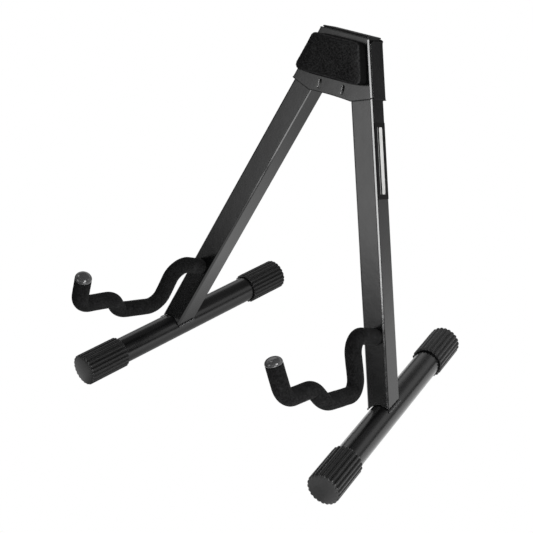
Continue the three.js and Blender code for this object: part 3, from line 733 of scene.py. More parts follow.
def make_sleeve(side, mirror):
    pts, dirs, info = yoke_path(12.6 - SET[side] * 0.60)
    m = 56
    ang = np.linspace(0, 2 * math.pi, m, endpoint=False)
    s = np.concatenate([[0], np.cumsum(np.linalg.norm(np.diff(pts, axis=0), axis=1))])
    total = s[-1]
    rings, uv, wear_and_highlight = [], [], []

    def ring(i, r_scale=1.0, along=0.0, raw=None):
        c, d = pts[i] + dirs[i] * along, dirs[i]
        nrm = np.array([-d[1], d[0]])
        sd, off, R, idx = info[i]
        rad = np.full(m, SLEEVE_R - 0.13)
        if sd:
            inner = R - SLEEVE_R
            deep = CREASE.get(idx, 0.0) * inner * (1 / math.cos(off) - 1) * 1.25
            c_in = np.cos(ang) * sd
            rad = rad - deep * smoothstep(c_in, 0.15, 1.0)
            # the skin stretches thin round the outside of a bend
            rad = rad - 0.10 * smoothstep(-c_in, 0.3, 1.0) * smoothstep(off, 0.0, 0.5)
        if raw is not None:
            rad = np.full(m, raw)
        rad = rad * r_scale
        f = c[0] + nrm[0] * rad * np.cos(ang)
        a = c[1] + nrm[1] * rad * np.cos(ang)
        u = TOE * max(0.0, c[0] - 12) + rad * np.sin(ang)
        return np.column_stack([u, -f, a])

    # rounded end by the leg
    for along, r in ((0.0, 5.45), (0.0, 6.9), (0.18, 7.8), (0.6, 8.4)):
        rings.append(ring(0, 1.0, along, r))
        uv.append(np.column_stack([ang * SLEEVE_R, np.full(m, along)]))
    for i in range(len(pts)):
        if s[i] < 1.3 or s[i] > total - 0.4:
            continue
        rings.append(ring(i))
        uv.append(np.column_stack([ang * SLEEVE_R, np.full(m, s[i])]))
    for along, r in ((-0.35, 8.62), (-0.05, 8.4), (0.0, 7.6), (0.0, 5.45)):
        rings.append(ring(len(pts) - 1, 1.0, along, r))
        uv.append(np.column_stack([ang * SLEEVE_R, np.full(m, total)]))
    outer_rows = len(rings)
    back = list(range(len(pts)))[::-6]
    for i in back:
        if s[i] < 2 or s[i] > total - 2:
            continue
        rings.append(ring(i, 1.0, 0.0, 5.45))
        uv.append(np.column_stack([ang * SLEEVE_R, np.full(m, s[i])]))
    leg = np.vstack(rings)
    p = from_leg(leg)
    v, f = ring_torus([p[i * m:(i + 1) * m] for i in range(len(rings))])
    # foam unevenness: soft lumps and fine fuzz, pushed along the section's radius, never outwards past the CAD skin by more than fabric may
    seed = 40.0 if mirror else 12.0
    cnt = outer_rows * m
    centre = np.repeat(np.array([p[i * m:(i + 1) * m].mean(0) for i in range(len(rings))]), m, axis=0)
    rad = v - centre
    ln = np.linalg.norm(rad, axis=1)
    rad = rad / ln[:, None]
    lump = fbm(v[:cnt], 0.055, 3, seed) * 0.16 + fbm(v[:cnt], 0.9, 2, seed + 5) * 0.045
    mask = np.zeros(len(v))
    mask[:cnt] = lump
    v = v + rad * mask[:, None]
    wear_and_highlight = np.zeros(len(v))
    w = fbm(v[:cnt], 0.11, 3, seed + 9)
    wear_and_highlight[:cnt] = np.clip(w * 1.4 - 0.25, 0, 1)
    ob = build(f"{side}_sleeve", v, f, M_SLEEVE, f"{side}_leg", [f"{side}_yoke_sleeve"], mirror, uv=np.vstack(uv), wear_and_highlight=wear_and_highlight)
    return pts[-1], dirs[-1]


def place_on_yoke(v, end, d, gap):
    """Turned part drawn up +Y, put on the end of the rod in the leg frame."""
    axis = np.array([TOE * d[0], -d[0], d[1]])
    axis /= np.linalg.norm(axis)
    c = np.array([TOE * max(0.0, end[0] - 12), -end[0], end[1]])
    c = c + axis * gap
    x = np.cross(axis, np.array([0.31, 0.2, 0.93]))
    x /= np.linalg.norm(x)
    z = np.cross(x, axis)
    return c + np.outer(v[:, 0], x) + np.outer(v[:, 1], axis) + np.outer(v[:, 2], z)


def make_tip(side, mirror, end, d):
    R = SLEEVE_R - 0.02
    prof = [(5.3, -0.2), (R - 1.2, -0.2), (R - 0.75, 0.0), (R - 0.35, 0.35), (R - 0.12, 0.75)]
    prof += [((R - 0.06) * math.cos(math.radians(a)) ** 0.70, 0.9 + 5.3 * math.sin(math.radians(a)) ** 1.08) for a in (5, 10, 16, 22, 29, 36, 43, 50, 57, 64, 71, 78, 84)]
    prof += [(0, 6.2)]
    inner = [(0, 3.6), (5.3, 3.6)]
    v1, f1 = lathe(prof + inner, 72)
    # join the inner wall back to the first ring
    m = 72
    last = len(v1) - m
    for j in range(m):
        k = (j + 1) % m
        f1.append([last + j, last + k, k, j])
    wear_and_highlight = np.clip((np.hypot(v1[:, 0], v1[:, 2]) - 8.0) / 0.7, 0, 1) * 0.5
    v = from_leg(place_on_yoke(v1, end, d, 0.3))
    build(f"{side}_tip", v, f1, M_TIP, f"{side}_leg", [f"{side}_yoke_tip"], mirror, wear_and_highlight=wear_and_highlight * 0, sharp=80)


# ---------------------------------------------------------------- head plates
def side_x(v, off=14.0):
    return LEG_X - v * math.tan(SPREAD) + off / math.cos(SPREAD)


HEAD_TOP, SIDE_FOOT, HEAD_FOOT = 366.0, 308.5, 300.5


def pressed_plate(outline_radii, n_out, direction, lip, bend, rim, slots=(), holes=(), chamfer_top=0.0):
    """A pressed sheet: flat face at n_out, both sides bent over a radius into lips of the given depth.
    direction is -1 where the lips run backwards from a front face (n falls) and +1 for the rear plate.
    Returns the rows of outline points as (x, depth, v), the bend weight of each outline point, and the outline."""
    t = SHEET
    top_r, low_r = outline_radii
    arch = 0.9
    corners = [(side_x(HEAD_TOP), HEAD_TOP), (-side_x(HEAD_TOP), HEAD_TOP), (-side_x(SIDE_FOOT), SIDE_FOOT), (-26, HEAD_FOOT)]
    corners += [(x, HEAD_FOOT + arch * (1 - (x / 26.0) ** 2)) for x in (-20, -13, -6.5, 0, 6.5, 13, 20)]
    corners += [(26, HEAD_FOOT), (side_x(SIDE_FOOT), SIDE_FOOT)]
    radii = [top_r, top_r, low_r, 3.0] + [0] * 7 + [3.0, low_r]
    poly = densify(fillet(corners, radii, 6), 3.0)
    n = len(poly)
    # outward normals of the outline
    nxt, prv = np.roll(poly, -1, axis=0), np.roll(poly, 1, axis=0)
    e1, e0 = nxt - poly, poly - prv
    e1 /= np.linalg.norm(e1, axis=1)[:, None]
    e0 /= np.linalg.norm(e0, axis=1)[:, None]
    tang = e0 + e1
    tang /= np.linalg.norm(tang, axis=1)[:, None]
    normal = np.column_stack([tang[:, 1], -tang[:, 0]])
    area = 0.5 * np.sum(poly[:, 0] * nxt[:, 1] - nxt[:, 0] * poly[:, 1])
    if area < 0:
        normal = -normal
    # 1 on the sides that are bent over, 0 on the free edges
    side_dir = np.column_stack([np.sign(poly[:, 0]) * cS, np.full(n, sS)])
    facing = np.sum(normal * side_dir, axis=1)
    w = smoothstep(facing, 0.90, 0.995) * smoothstep(poly[:, 1], SIDE_FOOT + 0.2, SIDE_FOOT + 1.2) * (1 - smoothstep(poly[:, 1], HEAD_TOP - 1.2 - chamfer_top, HEAD_TOP - 0.4 - chamfer_top * 0.6))
    K = 7
    a = np.linspace(0, math.pi / 2, K)
    # profiles as (inset from the outline, depth from the face), outer then inner
    r = rim
    rx = r * (1.8 if r > 0.5 else 1.0)           # a pressed edge rolls over further than it drops
    free = [(rx - rx * math.sin(x), r - r * math.cos(x)) for x in a] + [(0, r + (t - 2 * r) * 0.35), (0, r + (t - 2 * r) * 0.65)]
    free += [(r - r * math.cos(x), t - r + r * math.sin(x)) for x in a]
    ch = fillet([(bend + 1.0, 0.0), (bend * 0.86, 0.0), (0.0, bend * 0.86), (0.0, bend + 1.0), (bend + 1.0, bend + 1.0)], [0, 0.9, 0.9, 0, 0], 2)[1:7]
    bend_p = [tuple(q) for q in ch] + [(0.0, bend + 0.3), (0, lip - 0.25), (0.25, lip)]
    q = max(bend - t, 0.25)
    inner = [(t + q - q * math.sin(x), t + q - q * math.cos(x)) for x in a][::-1]
    bend_p += [(t - 0.1, lip)] + inner[1:]
    free, bend_p = np.array(free), np.array(bend_p)
    assert len(free) == len(bend_p), (len(free), len(bend_p))
    rows = []
    for (fi, fd), (bi, bd) in zip(free, bend_p):
        inset = fi + (bi - fi) * w
        depth = fd + (bd - fd) * w
        xy = poly - normal * inset[:, None]
        nn = n_out - direction * 0 + (-depth if direction < 0 else depth)
        rows.append(np.column_stack([xy[:, 0], nn, xy[:, 1]]))
    return rows, w, poly


def fill_with_holes(outer, holes, y):
    """Triangles filling a planar region given as (x, v) loops, all at one y. Uses Blender's constrained Delaunay
    triangulation.
    """
    from mathutils.geometry import delaunay_2d_cdt

    pts = [Vector(p) for p in outer]
    loops = [list(range(len(outer)))]
    for h in holes:
        base = len(pts)
        pts += [Vector(p) for p in h]
        loops.append(list(range(base, base + len(h))))
    edges = []
    for lp in loops:
        edges += [(lp[i], lp[(i + 1) % len(lp)]) for i in range(len(lp))]
    out = delaunay_2d_cdt(pts, edges, [], 0, 1e-7)
    verts, faces = out[0], out[2]
    orig = out[3]

    def inside(p, loop):
        c = False
        m = len(loop)
        for i in range(m):
            x1, y1 = loop[i]
            x2, y2 = loop[(i + 1) % m]
            if (y1 > p[1]) != (y2 > p[1]) and p[0] < (x2 - x1) * (p[1] - y1) / (y2 - y1) + x1:
                c = not c
        return c

    keep = []
    for f in faces:
        cx = sum(verts[i][0] for i in f) / len(f)
        cy = sum(verts[i][1] for i in f) / len(f)
        if inside((cx, cy), outer) and not any(inside((cx, cy), h) for h in holes):
            keep.append([orig[i][0] for i in f])
    return keep


def slot_loop(cx, cv, width, length, r, steps=5):
    return fillet([(cx + width / 2, cv + length / 2), (cx - width / 2, cv + length / 2), (cx - width / 2, cv - length / 2), (cx + width / 2, cv - length / 2)], [r] * 4, steps)


def circle_loop(cx, cv, r, k=32):
    return np.array([(cx + r * math.cos(2 * math.pi * i / k), cv + r * math.sin(2 * math.pi * i / k)) for i in range(k)])


def plate_piece(name, front, lip, bend, rim, radii, holes, material, node, slot_name, chamfer_top=0.0):
    """Builds one closed pressed plate, with rimmed holes through its flat face."""
    sgn = -1 if front else 1                      # outward side of the flat face along y
    rows, w, poly = pressed_plate(radii, 0.0, 1, lip, bend, rim, chamfer_top=chamfer_top)
    n = len(poly)
    verts, faces = [], []
    for r in rows:
        verts += list(r)
    R = len(rows)
    for i in range(R - 1):
        for j in range(n):
            k = (j + 1) % n
            faces.append([i * n + j, i * n + k, (i + 1) * n + k, (i + 1) * n + j])
    # hole walls with a small pressed-in rim
    hole_first, hole_last = [], []
    for h in holes:
        c = h.mean(0)
        d = h - c
        d /= np.linalg.norm(d, axis=1)[:, None]
        prof = [(0.30, 0.0), (0.12, 0.06), (0.0, 0.28), (0.0, SHEET - 0.2), (0.15, SHEET)]
        idx = []
        for grow, depth in prof:
            base = len(verts)
            verts += [np.array([*(q[:1]), depth, q[1]]) for q in (h + d * grow)]
            idx.append(list(range(base, base + len(h))))
        for a, b in zip(idx[:-1], idx[1:]):
            for j in range(len(h)):
                k = (j + 1) % len(h)
                faces.append([a[j], b[j], b[k], a[k]])
        hole_first.append((idx[0], h + d * 0.30))
        hole_last.append((idx[-1], h + d * 0.15))
    for row, hs, depth in ((0, hole_first, 0.0), (R - 1, hole_last, SHEET)):
        outer = [(verts[row * n + j][0], verts[row * n + j][2]) for j in range(n)]
        tris = fill_with_holes(outer, [list(map(tuple, h[1])) for h in hs], depth)
        lookup = list(range(row * n, row * n + n))
        for ids, _ in hs:
            lookup += ids
        faces += [[lookup[i] for i in t] for t in tris]
    v = np.array(verts, float)
    depth = v[:, 1].copy()
    v[:, 1] = -PLATE_OUT + depth if front else PLATE_OUT - depth
    wear_and_highlight = np.zeros(len(v))
    for i in range(R):
        d = rows[i][:, 1]
        wear_and_highlight[i * n:(i + 1) * n] = np.where(i in (3, 4, 5), 0.8, 0.0) * (0.4 + 0.6 * w)
    return v, faces, wear_and_highlight


def make_head():
    slots = [slot_loop(s * 14.3 - 0.45, 309.8, 3.9, 9.6, 1.8) for s in (1, -1)]
    v, f, wear_and_highlight = plate_piece("head_front", True, 2.5, 2.0, 0.62, (2.2, 1.5), slots, M_HEAD, None, None)
    build("head_front", from_lean(v), f, M_HEAD, "head", ["head_front_plate"], wear_and_highlight=wear_and_highlight, uv=np.column_stack([v[:, 0], v[:, 2]]), sharp=50, flat=True)
    bolts = [circle_loop(s * PIVOT_X, PIVOT_V, 3.25) for s in (1, -1)]
    v, f, wear_and_highlight = plate_piece("head_rear", False, 26.6, 2.2, 0.35, (3.2, 0.8), bolts, M_HEAD, None, None, chamfer_top=1.6)
    build("head_rear", from_lean(v), f, M_HEAD, "head", ["head_rear_channel"], wear_and_highlight=wear_and_highlight, uv=np.column_stack([v[:, 0], v[:, 2]]), sharp=50, flat=True)
    # lanced strips: pressed inwards towards the opening, their sloping face catching the light, and coloured far
    # lighter than the plate as a painted glint
    for s, word in ((1, "right"), (-1, "left")):
        rings = []
        x0 = s * 14.3
        for i in range(33):
            t = -1 + 2 * i / 32
            k = max(0.0, 1 - abs(t) ** 6)
            z = 309.8 + t * 4.75
            xl, xr = x0 - 2.36 + 0.5 * (1 - k), x0 - 1.36
            y0 = -PLATE_OUT + 0.06
            y1 = y0 + 1.04 * (xr - xl)       # the same slope all along
            sec = [(xl, y0 + 0.9), (xl, y0 + 0.10), (xl + 0.06, y0), (xl + 0.5 * (xr - xl), y0 + 0.5 * (y1 - y0)), (xr - 0.04, y1 - 0.03), (xr, y1 + 0.05), (xr, y1 + 0.15)]
            rings.append(from_lean(np.array([(x, y, z) for x, y in sec])))
        v, f = loft(rings)
        build(f"head_strip_{word}", v, f, M_GLINT_STRIP, "head", (), wear_and_highlight=np.full(len(v), 0.3), sharp=30)


def make_top_cap():
    """Closing cap: a low lid with rounded edges over a plug between the plates."""
    def rr(hx, hn, r, z):
        corners, p = fillet([(hx, hn), (-hx, hn), (-hx, -hn), (hx, -hn)], [r] * 4, 8), []
        for i, a in enumerate(corners):
            p.append(a)
            if i % 9 == 8:              # the straight run to the next corner, always with the same points
                b = corners[(i + 1) % len(corners)]
                p += [a + (b - a) * t for t in (0.01, 0.2, 0.4, 0.6, 0.8, 0.99)]
        p = np.array(p)
        return np.column_stack([p[:, 0], p[:, 1], np.full(len(p), z)])

    rows = [rr(27.1, 13.1, 2.2, 352.2), rr(27.2, 13.2, 2.3, 352.5), rr(27.2, 13.2, 2.3, 366.3), rr(28.9, 13.3, 4.2, 366.36), rr(29.15, 13.45, 4.4, 366.5), rr(29.2, 13.5, 4.4, 366.8), rr(29.05, 13.42, 4.3, 367.35), rr(28.7, 13.15, 4.1, 367.72), rr(28.1, 12.7, 3.7, 367.92), rr(26.9, 11.5, 3.0, 367.98), rr(22.0, 7.0, 1.5, 367.99)]
    assert len({len(q) for q in rows}) == 1
    v, f = loft(rows)
    build("head_cap", from_lean(v), f, M_CLOSE, "head", ["head_top_cap"], sharp=55, flat=True)


def make_pad():
    """Foam back rest: a soft-edged block, blown up a little by cloth pressure and held flat on its glued back."""
    half = lambda v: 35.4 - 0.333 * (v - 340.0)
    lo, hi = 318.2, 360.4
    inset = 0.55
    corners = [(half(hi) - inset, hi - inset), (-half(hi) + inset, hi - inset), (-half(lo) + inset, lo + inset), (half(lo) - inset, lo + inset)]
    poly = densify(fillet(corners, [6.0] * 4, 8), 2.0)
    c = poly.mean(0)
    back, front = -PLATE_OUT - 0.3, -PLATE_OUT - 0.3 - 14.4
    rows = []
    nxt, prv = np.roll(poly, -1, axis=0), np.roll(poly, 1, axis=0)
    tang = nxt - prv
    tang /= np.linalg.norm(tang, axis=1)[:, None]
    nor = np.column_stack([tang[:, 1], -tang[:, 0]])
    if np.sum(nor * (poly - c)) < 0:
        nor = -nor
    er = 1.3
    for inset2, y in [(0.5, back), (0.1, back - 0.5)] + [(0.0, back + (front - back) * t) for t in (0.15, 0.3, 0.45, 0.6, 0.72)] + \
            [(er - er * math.cos(math.radians(a)), front + er - er * math.sin(math.radians(a))) for a in (0, 18, 36, 54, 72, 90)]:
        p = poly - nor * inset2
        rows.append(np.column_stack([p[:, 0], np.full(len(p), y), p[:, 1]]))
    v, f = loft(rows, closed_ends=True)
    ob = build("back_pad", from_lean(v), f, M_PAD, "head", ["foam_pad"])
    # to an even mesh
    bpy.context.view_layer.objects.active = ob
    world = ob.matrix_world.copy()
    rm = ob.modifiers.new("even", "REMESH")
    rm.mode = "VOXEL"
    rm.voxel_size = 0.0013
    dg = bpy.context.evaluated_depsgraph_get()
    me = bpy.data.meshes.new_from_object(ob.evaluated_get(dg))
    ob.modifiers.clear()
    old = ob.data
    ob.data = me
    bpy.data.meshes.remove(old)
    if not me.materials:
        me.materials.append(M_PAD)
    co0 = np.array([q.co for q in me.vertices], float)
    sc = bpy.context.scene
    cl = ob.modifiers.new("Cloth", "CLOTH")
    cs = cl.settings
    cs.quality = 6
    cs.mass = 0.2
    cs.use_pressure = True
    cs.uniform_pressure_force = 4.0
    cs.tension_stiffness = 12
    cs.compression_stiffness = 12
    cs.shear_stiffness = 6
    cs.bending_stiffness = 2.0
    cs.effector_weights.gravity = 0.0
    cl.collision_settings.use_self_collision = False
    # the glued back stays where it is
    lean = to_lean_mm(co0)
    grp = ob.vertex_groups.new(name="glued")
    for i, q in enumerate(lean):
        if q[1] > back - 0.9:
            grp.add([i], 1.0, "REPLACE")
    cs.vertex_group_mass = "glued"
    cl.point_cache.frame_start, cl.point_cache.frame_end = 1, 20
    for fr in range(1, 21):
        sc.frame_set(fr)
    dg = bpy.context.evaluated_depsgraph_get()
    ev = ob.evaluated_get(dg)
    co1 = np.array([q.co for q in ev.data.vertices], float)
    ob.modifiers.clear()
    sc.frame_set(1)
    move = co1 - co0
    ln = np.linalg.norm(move, axis=1)
    cap = 0.0008
    scale = np.where(ln > 1e-9, np.minimum(ln, cap) / np.maximum(ln, 1e-9), 0)
    co1 = co0 + move * scale[:, None]
    lean = to_lean_mm(co1)
    # a worn, slightly dished face, kept inside the CAD block
    x, y, vv = lean[:, 0], lean[:, 1], lean[:, 2]
    faceness = smoothstep(-(y - front), -4.5, -0.2)
    rx = np.clip(np.abs(x) / np.maximum(half(vv), 1), 0, 1)
    rv = np.clip(np.abs(vv - (lo + hi) / 2) / ((hi - lo) / 2), 0, 1)
    crown = (1 - rx ** 2.4) * (1 - rv ** 2.4)
    lean[:, 1] = y - faceness * 0.35 * crown
    pts = from_lean(lean)
    lump = fbm(pts, 0.05, 3, 4.0) * 0.14 + fbm(pts, 0.5, 3, 8.0) * 0.05
    ctr = pts.mean(0)
    me.vertices.foreach_set("co", (pts * 0.001).astype(np.float32).ravel())
    me.update()
    nrm = np.array([q.normal for q in me.vertices], float)
    back_mask = 1 - smoothstep(lean[:, 1], back - 1.2, back - 0.2)
    pts = pts + nrm * (lump * back_mask)[:, None]
    lean = to_lean_mm(pts * 0.001)
    lean[:, 1] = np.clip(lean[:, 1], -PLATE_OUT - 0.3 - 15.35, back)
    pts = from_lean(lean)
    me.vertices.foreach_set("co", (pts * 0.001).astype(np.float32).ravel())
    me.update()
    a = me.attributes.get("wear_and_highlight") or me.attributes.new("wear_and_highlight", "FLOAT", "POINT")
    # painted highlight: a lighter band along the pad's front edges, on top of random lighter lumps
    at_front = -(lean[:, 1] - front)
    painted_edge_highlight = smoothstep(at_front, -1.6, -0.9) * (1 - smoothstep(at_front, -0.45, -0.1)) * 0.9
    a.data.foreach_set("value", np.clip(np.maximum(fbm(pts, 0.09, 3, 2.0) * 0.7 - 0.40, painted_edge_highlight), 0, 1).astype(np.float32))
    # painted shade: marks the pad's sides, away from the front face, so that the foam colour darkens them
    painted_side_shade = me.attributes.new("painted_side_shade", "FLOAT", "POINT")
    painted_side_shade.data.foreach_set("value", (1 - smoothstep(-(lean[:, 1] - front), -2.6, -0.7)).astype(np.float32))
    me.polygons.foreach_set("use_smooth", [True] * len(me.polygons))
    sub = ob.modifiers.new("fine", "SUBSURF")
    sub.levels = sub.render_levels = 1
    return ob


def to_lean_mm(co_m):
    """Row-frame metres to lean-frame millimetres."""
    p = np.asarray(co_m, float) * 1000.0
    y, z = p[:, 1] - Y0, p[:, 2] - CREST
    return np.column_stack([p[:, 0], y * cL - z * sL, y * sL + z * cL])


# ---------------------------------------------------------------- pivots
def make_pivot(side, mirror):
    cx = PIVOT_X
    y_head, y_nut = -PLATE_OUT - 0.3, PLATE_OUT + 0.3
    tail = y_nut + 5.0 + 0.8
    # bolt: domed head in front, threaded tail behind
    prof = [(0, y_head - 2.7)] + [(6.35 * math.sin(math.radians(a)), y_head - 0.75 - 1.93 * math.cos(math.radians(a))) for a in (15, 30, 45, 60, 75, 90)]
    prof += [(6.35, y_head - 0.2), (6.15, y_head), (2.9, y_head), (2.9, y_nut - 0.2)]
    k = 0
    y = y_nut
    while y < tail - 0.7:
        prof += [(2.88, y + 0.05), (2.50, y + 0.40), (2.88, y + 0.75)]
        y += 0.8
        k += 1
    prof += [(2.80, tail - 0.35), (2.35, tail), (0, tail)]
    v, f = lathe(prof, 48, centre=(cx, 0, PIVOT_V))
    build(f"{side}_bolt", from_lean(v), f, M_ZINC, "head", [f"{side}_pivot_bolt"], mirror, sharp=40)
    # nut: chamfered hexagon with a countersunk thread
    flats = 10.0
    Rc = flats / 2 / math.cos(math.radians(30)) - 0.02
    m = 72
    ang = np.linspace(0, 2 * math.pi, m, endpoint=False)
    hexr = (flats / 2 - 0.02) / np.cos((ang + math.pi / 6) % (math.pi / 3) - math.pi / 6)
    hexr = np.minimum(hexr, Rc - 0.05)
    rings = []

    def hr(limit, y):
        r = np.minimum(hexr, limit)
        return from_lean(np.column_stack([cx + r * np.cos(ang), np.full(m, y), PIVOT_V + r * np.sin(ang)]))

    def cr(r, y):
        return from_lean(np.column_stack([cx + r * np.cos(ang), np.full(m, y), PIVOT_V + r * np.sin(ang)]))

    y0, y1 = y_nut + 0.02, y_nut + 4.98
    rings = [cr(3.6, y0), hr(4.95, y0), hr(5.35, y0 + 0.22), hr(9, y0 + 0.55), hr(9, y1 - 0.55), hr(5.35, y1 - 0.22), hr(4.95, y1), cr(3.7, y1), cr(3.28, y1 - 0.4), cr(3.28, y0 + 0.4)]
    v, f = ring_torus(rings)
    build(f"{side}_nut", v, f, M_ZINC, "head", [f"{side}_pivot_nut"], mirror, sharp=22)
    for word, sg in (("front", -1), ("rear", 1)):
        w0 = sg * (SIDE / 2 + 0.3)
        w1 = sg * (SIDE / 2 + 0.3 + 0.8)
        a, b = min(w0, w1), max(w0, w1)
        prof = [(3.4, a + 0.15), (3.55, a), (9.85, a), (10.0, a + 0.15), (10.0, b - 0.15), (9.85, b), (3.55, b), (3.4, b - 0.15)]
        v, f = lathe(prof, 64, centre=(cx, 0, PIVOT_V), closed_profile=True)
        build(f"{side}_disc_{word}", from_lean(v), f, M_NYLON, "head", [f"{side}_washer_{word}"], mirror, sharp=35)
    h = SIDE / 2 - 0.02
    prof = [(3.3, -h + 0.3), (3.6, -h), (4.8, -h), (5.0, -h + 0.2), (5.0, h - 0.2), (4.8, h), (3.6, h), (3.3, h - 0.3)]
    v, f = lathe(prof, 64, centre=(0, 0, PIVOT_A), closed_profile=True)
    build(f"{side}_bush", from_leg(v), f, M_NYLON, f"{side}_leg", [f"{side}_pivot_bush"], mirror, sharp=35)


# ---------------------------------------------------------------- label
def make_label():
    x0 = SIDE / 2 + 0.31
    lo, hi, half = 222.2, 299.8, 10.25

    def slab(name, y0, y1, a0, a1, r, base, thick, material, extra=()):
        p = fillet([(y1, a1), (y0, a1), (y0, a0), (y1, a0)], [r] * 4, 6)
        rows = []
        for inset, d in ((0, 0), (0, thick * 0.6), (0.04, thick * 0.9), (0.12, thick)):
            c = p.mean(0)
            q = p - (p - c) / np.linalg.norm(p - c, axis=1)[:, None] * inset
            rows.append(leg_point("right", np.column_stack([np.full(len(q), base + d), q[:, 0], q[:, 1]])))
        v, f = loft(rows)
        return build(name, v, f, material, "right_leg", extra, sharp=40, flat=True)

    slab("label_sheet", -half, half, lo, hi, 0.6, x0, 0.30, M_FILM, ["leg_label"])
    slab("label_mark", -2.0, 4.2, lo + 5.0, hi - 5.0, 1.6, x0 + 0.301, 0.05, M_BAR)
    slab("label_rule", -5.6, -4.7, lo + 5.0, hi - 5.0, 0.4, x0 + 0.301, 0.05, M_BAR_DIM)


# ---------------------------------------------------------------- build it all
for side, mirror in SIDES:
    make_leg(side, mirror)
    make_welds(side, mirror)
    make_foot(side, mirror)
    for end in ("front", "rear"):
        make_cap(side, mirror, end)
    tip_at, tip_dir = make_sleeve(side, mirror)
    make_tip(side, mirror, tip_at, tip_dir)
    make_pivot(side, mirror)
make_head()
make_top_cap()
make_pad()
make_label()

# rods stay as the CAD made them, inside their sleeves
for side, _ in SIDES:
    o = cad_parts[f"{side}_yoke_rod"]
    if o.data.materials:
        for i in range(len(o.data.materials)):
            o.data.materials[i] = M_LEG
    else:
        o.data.materials.append(M_LEG)


# ---------------------------------------------------------------- stage, light, camera
def emitter(name, verts, faces, strength_nodes, camera=False, bounce=True):
    n = Nodes(name)
    n.nt.nodes.remove(n.bsdf)
    e = n.new("ShaderNodeEmission")
    n.link(e.outputs[0], n.out.inputs[0])
    e.inputs["Color"].default_value = (1, 1, 1, 1)
    strength_nodes(n, e)
    me = bpy.data.meshes.new(name)
    me.from_pydata(verts, [], faces)
    ob = bpy.data.objects.new(name, me)
    bpy.context.scene.collection.objects.link(ob)
    me.materials.append(n.mat)
    ob.visible_camera = camera
    ob.visible_diffuse = bounce
    ob.visible_glossy = bounce
    ob.visible_transmission = bounce
    ob.visible_shadow = False
    return ob


def curve(n, fac, pts):
    """Piecewise-linear brightness: pts are (position 0-1, value)."""
    top = max(v for _, v in pts)
    return n.math("MULTIPLY", n.ramp(fac, [(p, v / top) for p, v in pts]), top)


def plain(value):
    def set_it(n, e):
        e.inputs["Strength"].default_value = value
    return set_it


def disc(radius, z, m=96):
    return [(radius * math.cos(2 * math.pi * i / m), radius * math.sin(2 * math.pi * i / m), z) for i in range(m)], [tuple(range(m))]


# the pale floor and the white room round it, as seen; low enough to show a leg that is folded in
v, f = disc(27.0, -0.03)
emitter("floor", v, f, plain(1.0), camera=True, bounce=False)
me = bpy.data.meshes.new("room")
bm = bmesh.new()
bmesh.ops.create_uvsphere(bm, u_segments=48, v_segments=24, radius=28.0)
bm.to_mesh(me)
bm.free()
emitter("room", [tuple(q.co) for q in me.vertices], [tuple(p.vertices) for p in me.polygons], plain(1.0), camera=True, bounce=False)


def floor_glow(n, e):
    """What the floor throws back: brightest on the right, fading with distance."""
    sep = n.new("ShaderNodeSeparateXYZ")
    n.link(n.tc.outputs["Object"], sep.inputs[0])
    x, y = sep.outputs[0], sep.outputs[1]
    dx, dy = n.math("SUBTRACT", x, 0.30), n.math("SUBTRACT", y, 0.0)
    r = n.math("SQRT", n.math("ADD", n.math("MULTIPLY", dx, dx), n.math("MULTIPLY", dy, dy)))
    g = curve(n, n.math("DIVIDE", r, 4.0, clamp=True), [(0.0, 1.25), (0.03, 1.35), (0.045, 1.40), (0.085, 1.42), (0.11, 1.25), (0.135, 1.13), (0.165, 0.95), (0.20, 0.78), (0.30, 0.76), (0.42, 0.52), (0.52, 0.30), (0.7, 0.13), (1.0, 0.07)])
    front = n.range(n.math("ADD", y, n.math("MULTIPLY", x, 0.8)), -0.60, -0.12, 0.05, 1.0)
    back = n.math("SUBTRACT", 1.0, n.math("MULTIPLY", n.math("MULTIPLY", n.range(y, 0.10, 0.36, 0.0, 0.56), n.range(x, 0.12, 0.24, 1.0, 0.0)), 1.0))
    # the shaded strips beside and in front of the feet
    shade = None
    for sgn in (1, -1):
        ax_ = n.math("SUBTRACT", n.math("MULTIPLY", x, float(sgn)), n.math("SUBTRACT", 0.1418, n.math("MULTIPLY", y, 0.134)))
        inner = n.range(ax_, -0.075, -0.016, 0.0, 1.0)
        inner = n.math("MULTIPLY", inner, n.range(ax_, -0.004, 0.012, 1.0, 0.0))
        inner = n.math("MULTIPLY", inner, n.math("MULTIPLY", n.range(y, -0.21, -0.15, 0.0, 1.0), n.range(y, 0.17, 0.22, 1.0, 0.0)))
        shade = inner if shade is None else n.math("MAXIMUM", shade, inner)
    occl = n.math("SUBTRACT", 1.0, n.math("MULTIPLY", shade, 0.62))
    # the long pool of light that the right-hand box throws on the floor in front
    a0, a1 = (0.27, -0.285), (0.66, -0.545)
    L = math.hypot(a1[0] - a0[0], a1[1] - a0[1])
    ux, uy = (a1[0] - a0[0]) / L, (a1[1] - a0[1]) / L
    px, py = n.math("SUBTRACT", x, a0[0]), n.math("SUBTRACT", y, a0[1])
    along = n.math("ADD", n.math("MULTIPLY", px, ux), n.math("MULTIPLY", py, uy))
    off = n.math("ABSOLUTE", n.math("SUBTRACT", n.math("MULTIPLY", py, ux), n.math("MULTIPLY", px, uy)))
    pool = n.math("MULTIPLY", n.math("MULTIPLY", n.range(along, -0.06, 0.05, 0.0, 1.0), n.range(along, L, L + 0.15, 1.0, 0.0)), n.range(off, 0.04, 0.13, 1.0, 0.0))
    total = n.math("MULTIPLY", n.math("MULTIPLY", g, front), n.math("MULTIPLY", back, occl))
    n.link(n.math("ADD", total, n.math("MULTIPLY", pool, 5.0)), e.inputs["Strength"])


v, f = disc(4.5, -0.0008)
emitter("floor_bounce", v, f, floor_glow)

# the long card low on the front left that the painted faces mirror
AZ = math.radians(-28.0)
d = Vector((math.sin(AZ), -math.cos(AZ), 0.0))
t = Vector((math.cos(AZ), math.sin(AZ), 0.0))
quad = []
for s_, z in ((-1.0, 0.0), (1.0, 0.0), (1.0, 1.7), (-1.0, 1.7)):
    q = d * 2.5 + t * s_
    quad.append((q.x, q.y, z))


